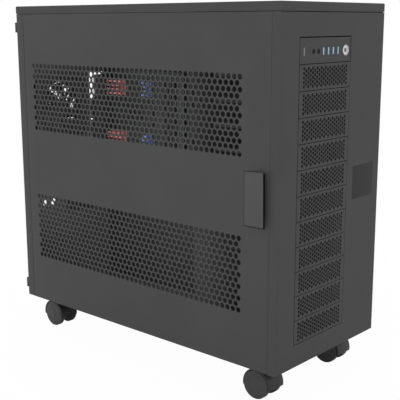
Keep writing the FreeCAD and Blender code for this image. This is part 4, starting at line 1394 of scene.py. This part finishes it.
# %% [markdown]
# A fan blade is a curved strip: its chord grows and its angle flattens from hub to tip, as in a real
# moulded impeller. No profile or turned shape gives that, so a formula says where a point of the blade
# is: how far along from hub to tip, how far across from edge to edge, and how far lifted from the middle
# of its thickness.

# %% Fan blade shape
FAN_HUB = 20.0
HUB_SINK = 1.5
TIP_RADIUS = 54.5
BLADE_CAMBER = 2.4
BLADE_SWEEP = math.radians(35)
ROOT_CHORD = 18.0
CHORD_GAIN = 26.0
ROOT_PITCH = math.radians(-37)
PITCH_GAIN = math.radians(18)


def blade_point(centre, turn, along, across, lift):
    root = FAN_HUB - HUB_SINK
    radius = root + (TIP_RADIUS - root) * along
    pitch = ROOT_PITCH + PITCH_GAIN * along
    swing = (across - 0.5) * (ROOT_CHORD + CHORD_GAIN * along)
    camber = BLADE_CAMBER * math.sin(math.pi * across)
    angle = turn + BLADE_SWEEP * along + swing * math.cos(pitch) / radius
    depth = swing * math.sin(pitch) - camber * math.cos(pitch) + lift
    return at(centre.x + radius * math.cos(angle), centre.y + depth, centre.z + radius * math.sin(angle))


print("blade length in mm:", TIP_RADIUS - FAN_HUB)

# %% [markdown]
# The formula places a grid of points for each of the blade's two faces, and a band of faces joins their
# rims. A grid of eight by six is enough, because smooth shading hides the steps.

# %% Fan blade faces
BLADE_ROWS = 8
BLADE_COLUMNS = 6
BLADE_THICK = 1.4


def blade_grid(piece, centre, turn, lift):
    grid = []
    for row in range(BLADE_ROWS + 1):
        line = []
        for column in range(BLADE_COLUMNS + 1):
            spot = blade_point(centre, turn, row / BLADE_ROWS, column / BLADE_COLUMNS, lift)
            line.append(piece.mesh.verts.new(spot))
        grid.append(line)
    return grid


def grid_rim(grid):
    """The points round a grid: along its root, up one side, back along the tip and down the other."""
    up_side = [line[-1] for line in grid[1:]]
    down_side = [line[0] for line in grid[-2:0:-1]]
    return grid[0] + up_side + grid[-1][-2::-1] + down_side


def add_blade(piece, centre, turn):
    new_face = piece.mesh.faces.new
    grids = [blade_grid(piece, centre, turn, lift) for lift in (-BLADE_THICK / 2, BLADE_THICK / 2)]
    faces = []
    for grid in grids:
        for line, after in zip(grid, grid[1:]):
            for column in range(BLADE_COLUMNS):
                faces.append(new_face((line[column], line[column + 1], after[column + 1], after[column])))
    front, back = [grid_rim(grid) for grid in grids]
    for here in range(len(front)):
        after = (here + 1) % len(front)
        faces.append(new_face((front[here], front[after], back[after], back[here])))
    bmesh.ops.recalc_face_normals(piece.mesh, faces=faces)
    piece.paint(BLACK_PLASTIC, faces)


trial = Piece("trial")
add_blade(trial, Vector((0, 0, 0)), 0.0)
print("a blade has", len(trial.mesh.faces), "faces")
trial.mesh.free()

# %% [markdown]
# The rotor is a round hub with a soft front edge, a steel shaft that runs in the frame and seven blades,
# set so that their gaps fall where light shows through the vent.

# %% Fan rotor
BLADES = 7
FIRST_BLADE = math.radians(16)
HUB_FRONT_GAP = 1.0
HUB_REAR_GAP = 7.0
SHAFT_RADIUS = 2.0


def make_rotor():
    _, high = span("rear_fan_rotor")
    fan_low, fan_high = span("rear_fan_frame")
    middle = (fan_low + fan_high) / 2
    cap_front = fan_low.y + HUB_FRONT_GAP
    cap_rear = fan_high.y - HUB_REAR_GAP
    cap_length = cap_rear - cap_front
    shaft_length = high.y - cap_rear
    rotor = Piece("fan_blades")
    hub = [(0, 0), (0, FAN_HUB - 1.6), (0.5, FAN_HUB - 0.5), (1.6, FAN_HUB), (cap_length, FAN_HUB),
           (cap_length, 0)]
    shaft = [(0, SHAFT_RADIUS), (shaft_length, SHAFT_RADIUS), (shaft_length, 0)]
    add_turned(rotor, BLACK_PLASTIC, (middle.x, cap_front, middle.z), BACK, hub)
    add_turned(rotor, STEEL, (middle.x, cap_rear, middle.z), BACK, shaft, steps=24)
    centre = Vector((middle.x, (cap_front + cap_rear) / 2, middle.z))
    for blade in range(BLADES):
        add_blade(rotor, centre, FIRST_BLADE + 2 * math.pi * blade / BLADES)
    rotor.done("fan_rotor", "rear_fan_rotor", slot="black_plastic")


make_rotor()

# %% [markdown]
# Through the vents and the open door the board can be seen. Small parts give it scale: memory sockets, a
# processor frame, a chip and two rows of capacitors. They sit on the frame's board and ride with the
# chassis. Their places are distances from the board's front, rear, top and bottom edges.

# %% Board parts
MEMORY_SOCKETS = 4
SOCKET_PITCH = 9.5
SOCKET_FRONT = 22.0
SOCKET_WIDTH = 6.5
SOCKET_RISE = 6.0
SOCKET_TOP = 22.0
SOCKET_BOTTOM = 160.0
PART_EDGE = 0.4
PROCESSOR_RISE = 5.0
PROCESSOR_FRONT = 88.0
PROCESSOR_REAR = 116.0
PROCESSOR_TOP = 70.0
PROCESSOR_BOTTOM = 118.0
PROCESSOR_EDGE = 1.0
CHIP_RISE = 2.5
CHIP_SIZE = 32.0
CHIP_FRONT = 30.0
CHIP_LEVEL = 40.0
CAPACITORS = 10
CAPACITORS_IN_ROW = 5
CAPACITOR_PITCH = 9.5
CAPACITOR_ROW_PITCH = 14.0
CAPACITOR_FRONT = 120.0
CAPACITOR_TOP = 86.0
CAPACITOR = [(0, 0), (0, 3.6), (9.0, 3.6), (9.4, 3.2), (9.4, 0)]


def make_board_parts():
    low, high = span("motherboard")
    face = low.x
    parts = Piece("board_small_parts")
    for socket in range(MEMORY_SOCKETS):
        y = low.y + SOCKET_FRONT + socket * SOCKET_PITCH
        add_block(parts, BLACK_PLASTIC, (face - SOCKET_RISE, y, high.z - SOCKET_BOTTOM),
                  (face, y + SOCKET_WIDTH, high.z - SOCKET_TOP), PART_EDGE)
    add_block(parts, INNER_COAT, (face - PROCESSOR_RISE, low.y + PROCESSOR_FRONT, high.z - PROCESSOR_BOTTOM),
              (face, low.y + PROCESSOR_REAR, high.z - PROCESSOR_TOP), PROCESSOR_EDGE)
    chip_y = low.y + CHIP_FRONT
    chip_z = low.z + CHIP_LEVEL
    add_block(parts, BLACK_PLASTIC, (face - CHIP_RISE, chip_y, chip_z),
              (face, chip_y + CHIP_SIZE, chip_z + CHIP_SIZE), PART_EDGE)
    for number in range(CAPACITORS):
        row, column = divmod(number, CAPACITORS_IN_ROW)
        y = high.y - CAPACITOR_FRONT + column * CAPACITOR_PITCH
        z = high.z - CAPACITOR_TOP - row * CAPACITOR_ROW_PITCH
        add_turned(parts, BLACK_PLASTIC, (face, y, z), -ACROSS, CAPACITOR, steps=20)
    parts.done("chassis", slot="black_plastic")


make_board_parts()

# %% [markdown]
# What is left of the frame is shown as it is: inner frame, rails, tray, fins and brackets. These nodes
# keep their own vertices. A weld and a small bevel soften their edges, and each takes the finish of its
# material.

# %% Carried-over nodes
CARRIED = {
    PANEL: ("base_pan", "handle_cup", "hinge_leaves"),
    INNER_COAT: ("motherboard_tray",),
    RAIL_COAT: ("front_frame", "bay_rails"),
    STEEL: ("board_standoffs", "door_strikes", "caster_sockets"),
    BLACK_PLASTIC: ("rear_fan_frame", "expansion_slots", "door_catches"),
    BOARD: ("motherboard", "io_circuit_board"),
    RED_METAL: ("red_heatsinks",),
    BLUE_METAL: ("blue_heatsinks",),
}
EDGE_RADIUS = 0.3
EDGE_ANGLE = math.radians(40)


def dress_node(node, material):
    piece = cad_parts[node]
    piece.data.materials.clear()
    piece.data.materials.append(material)
    weld = piece.modifiers.new("weld", "WELD")
    weld.merge_threshold = SAME_POINT
    bevel = piece.modifiers.new("edges", "BEVEL")
    bevel.width = EDGE_RADIUS * MM
    bevel.segments = 2
    bevel.limit_method = "ANGLE"
    bevel.angle_limit = EDGE_ANGLE
    piece.data.set_sharp_from_angle(angle=SMOOTH_ANGLE)


for material, nodes in CARRIED.items():
    for node in nodes:
        dress_node(node, material)
print("carried over:", sum(len(nodes) for nodes in CARRIED.values()))

# %% End
print("all pieces dressed")
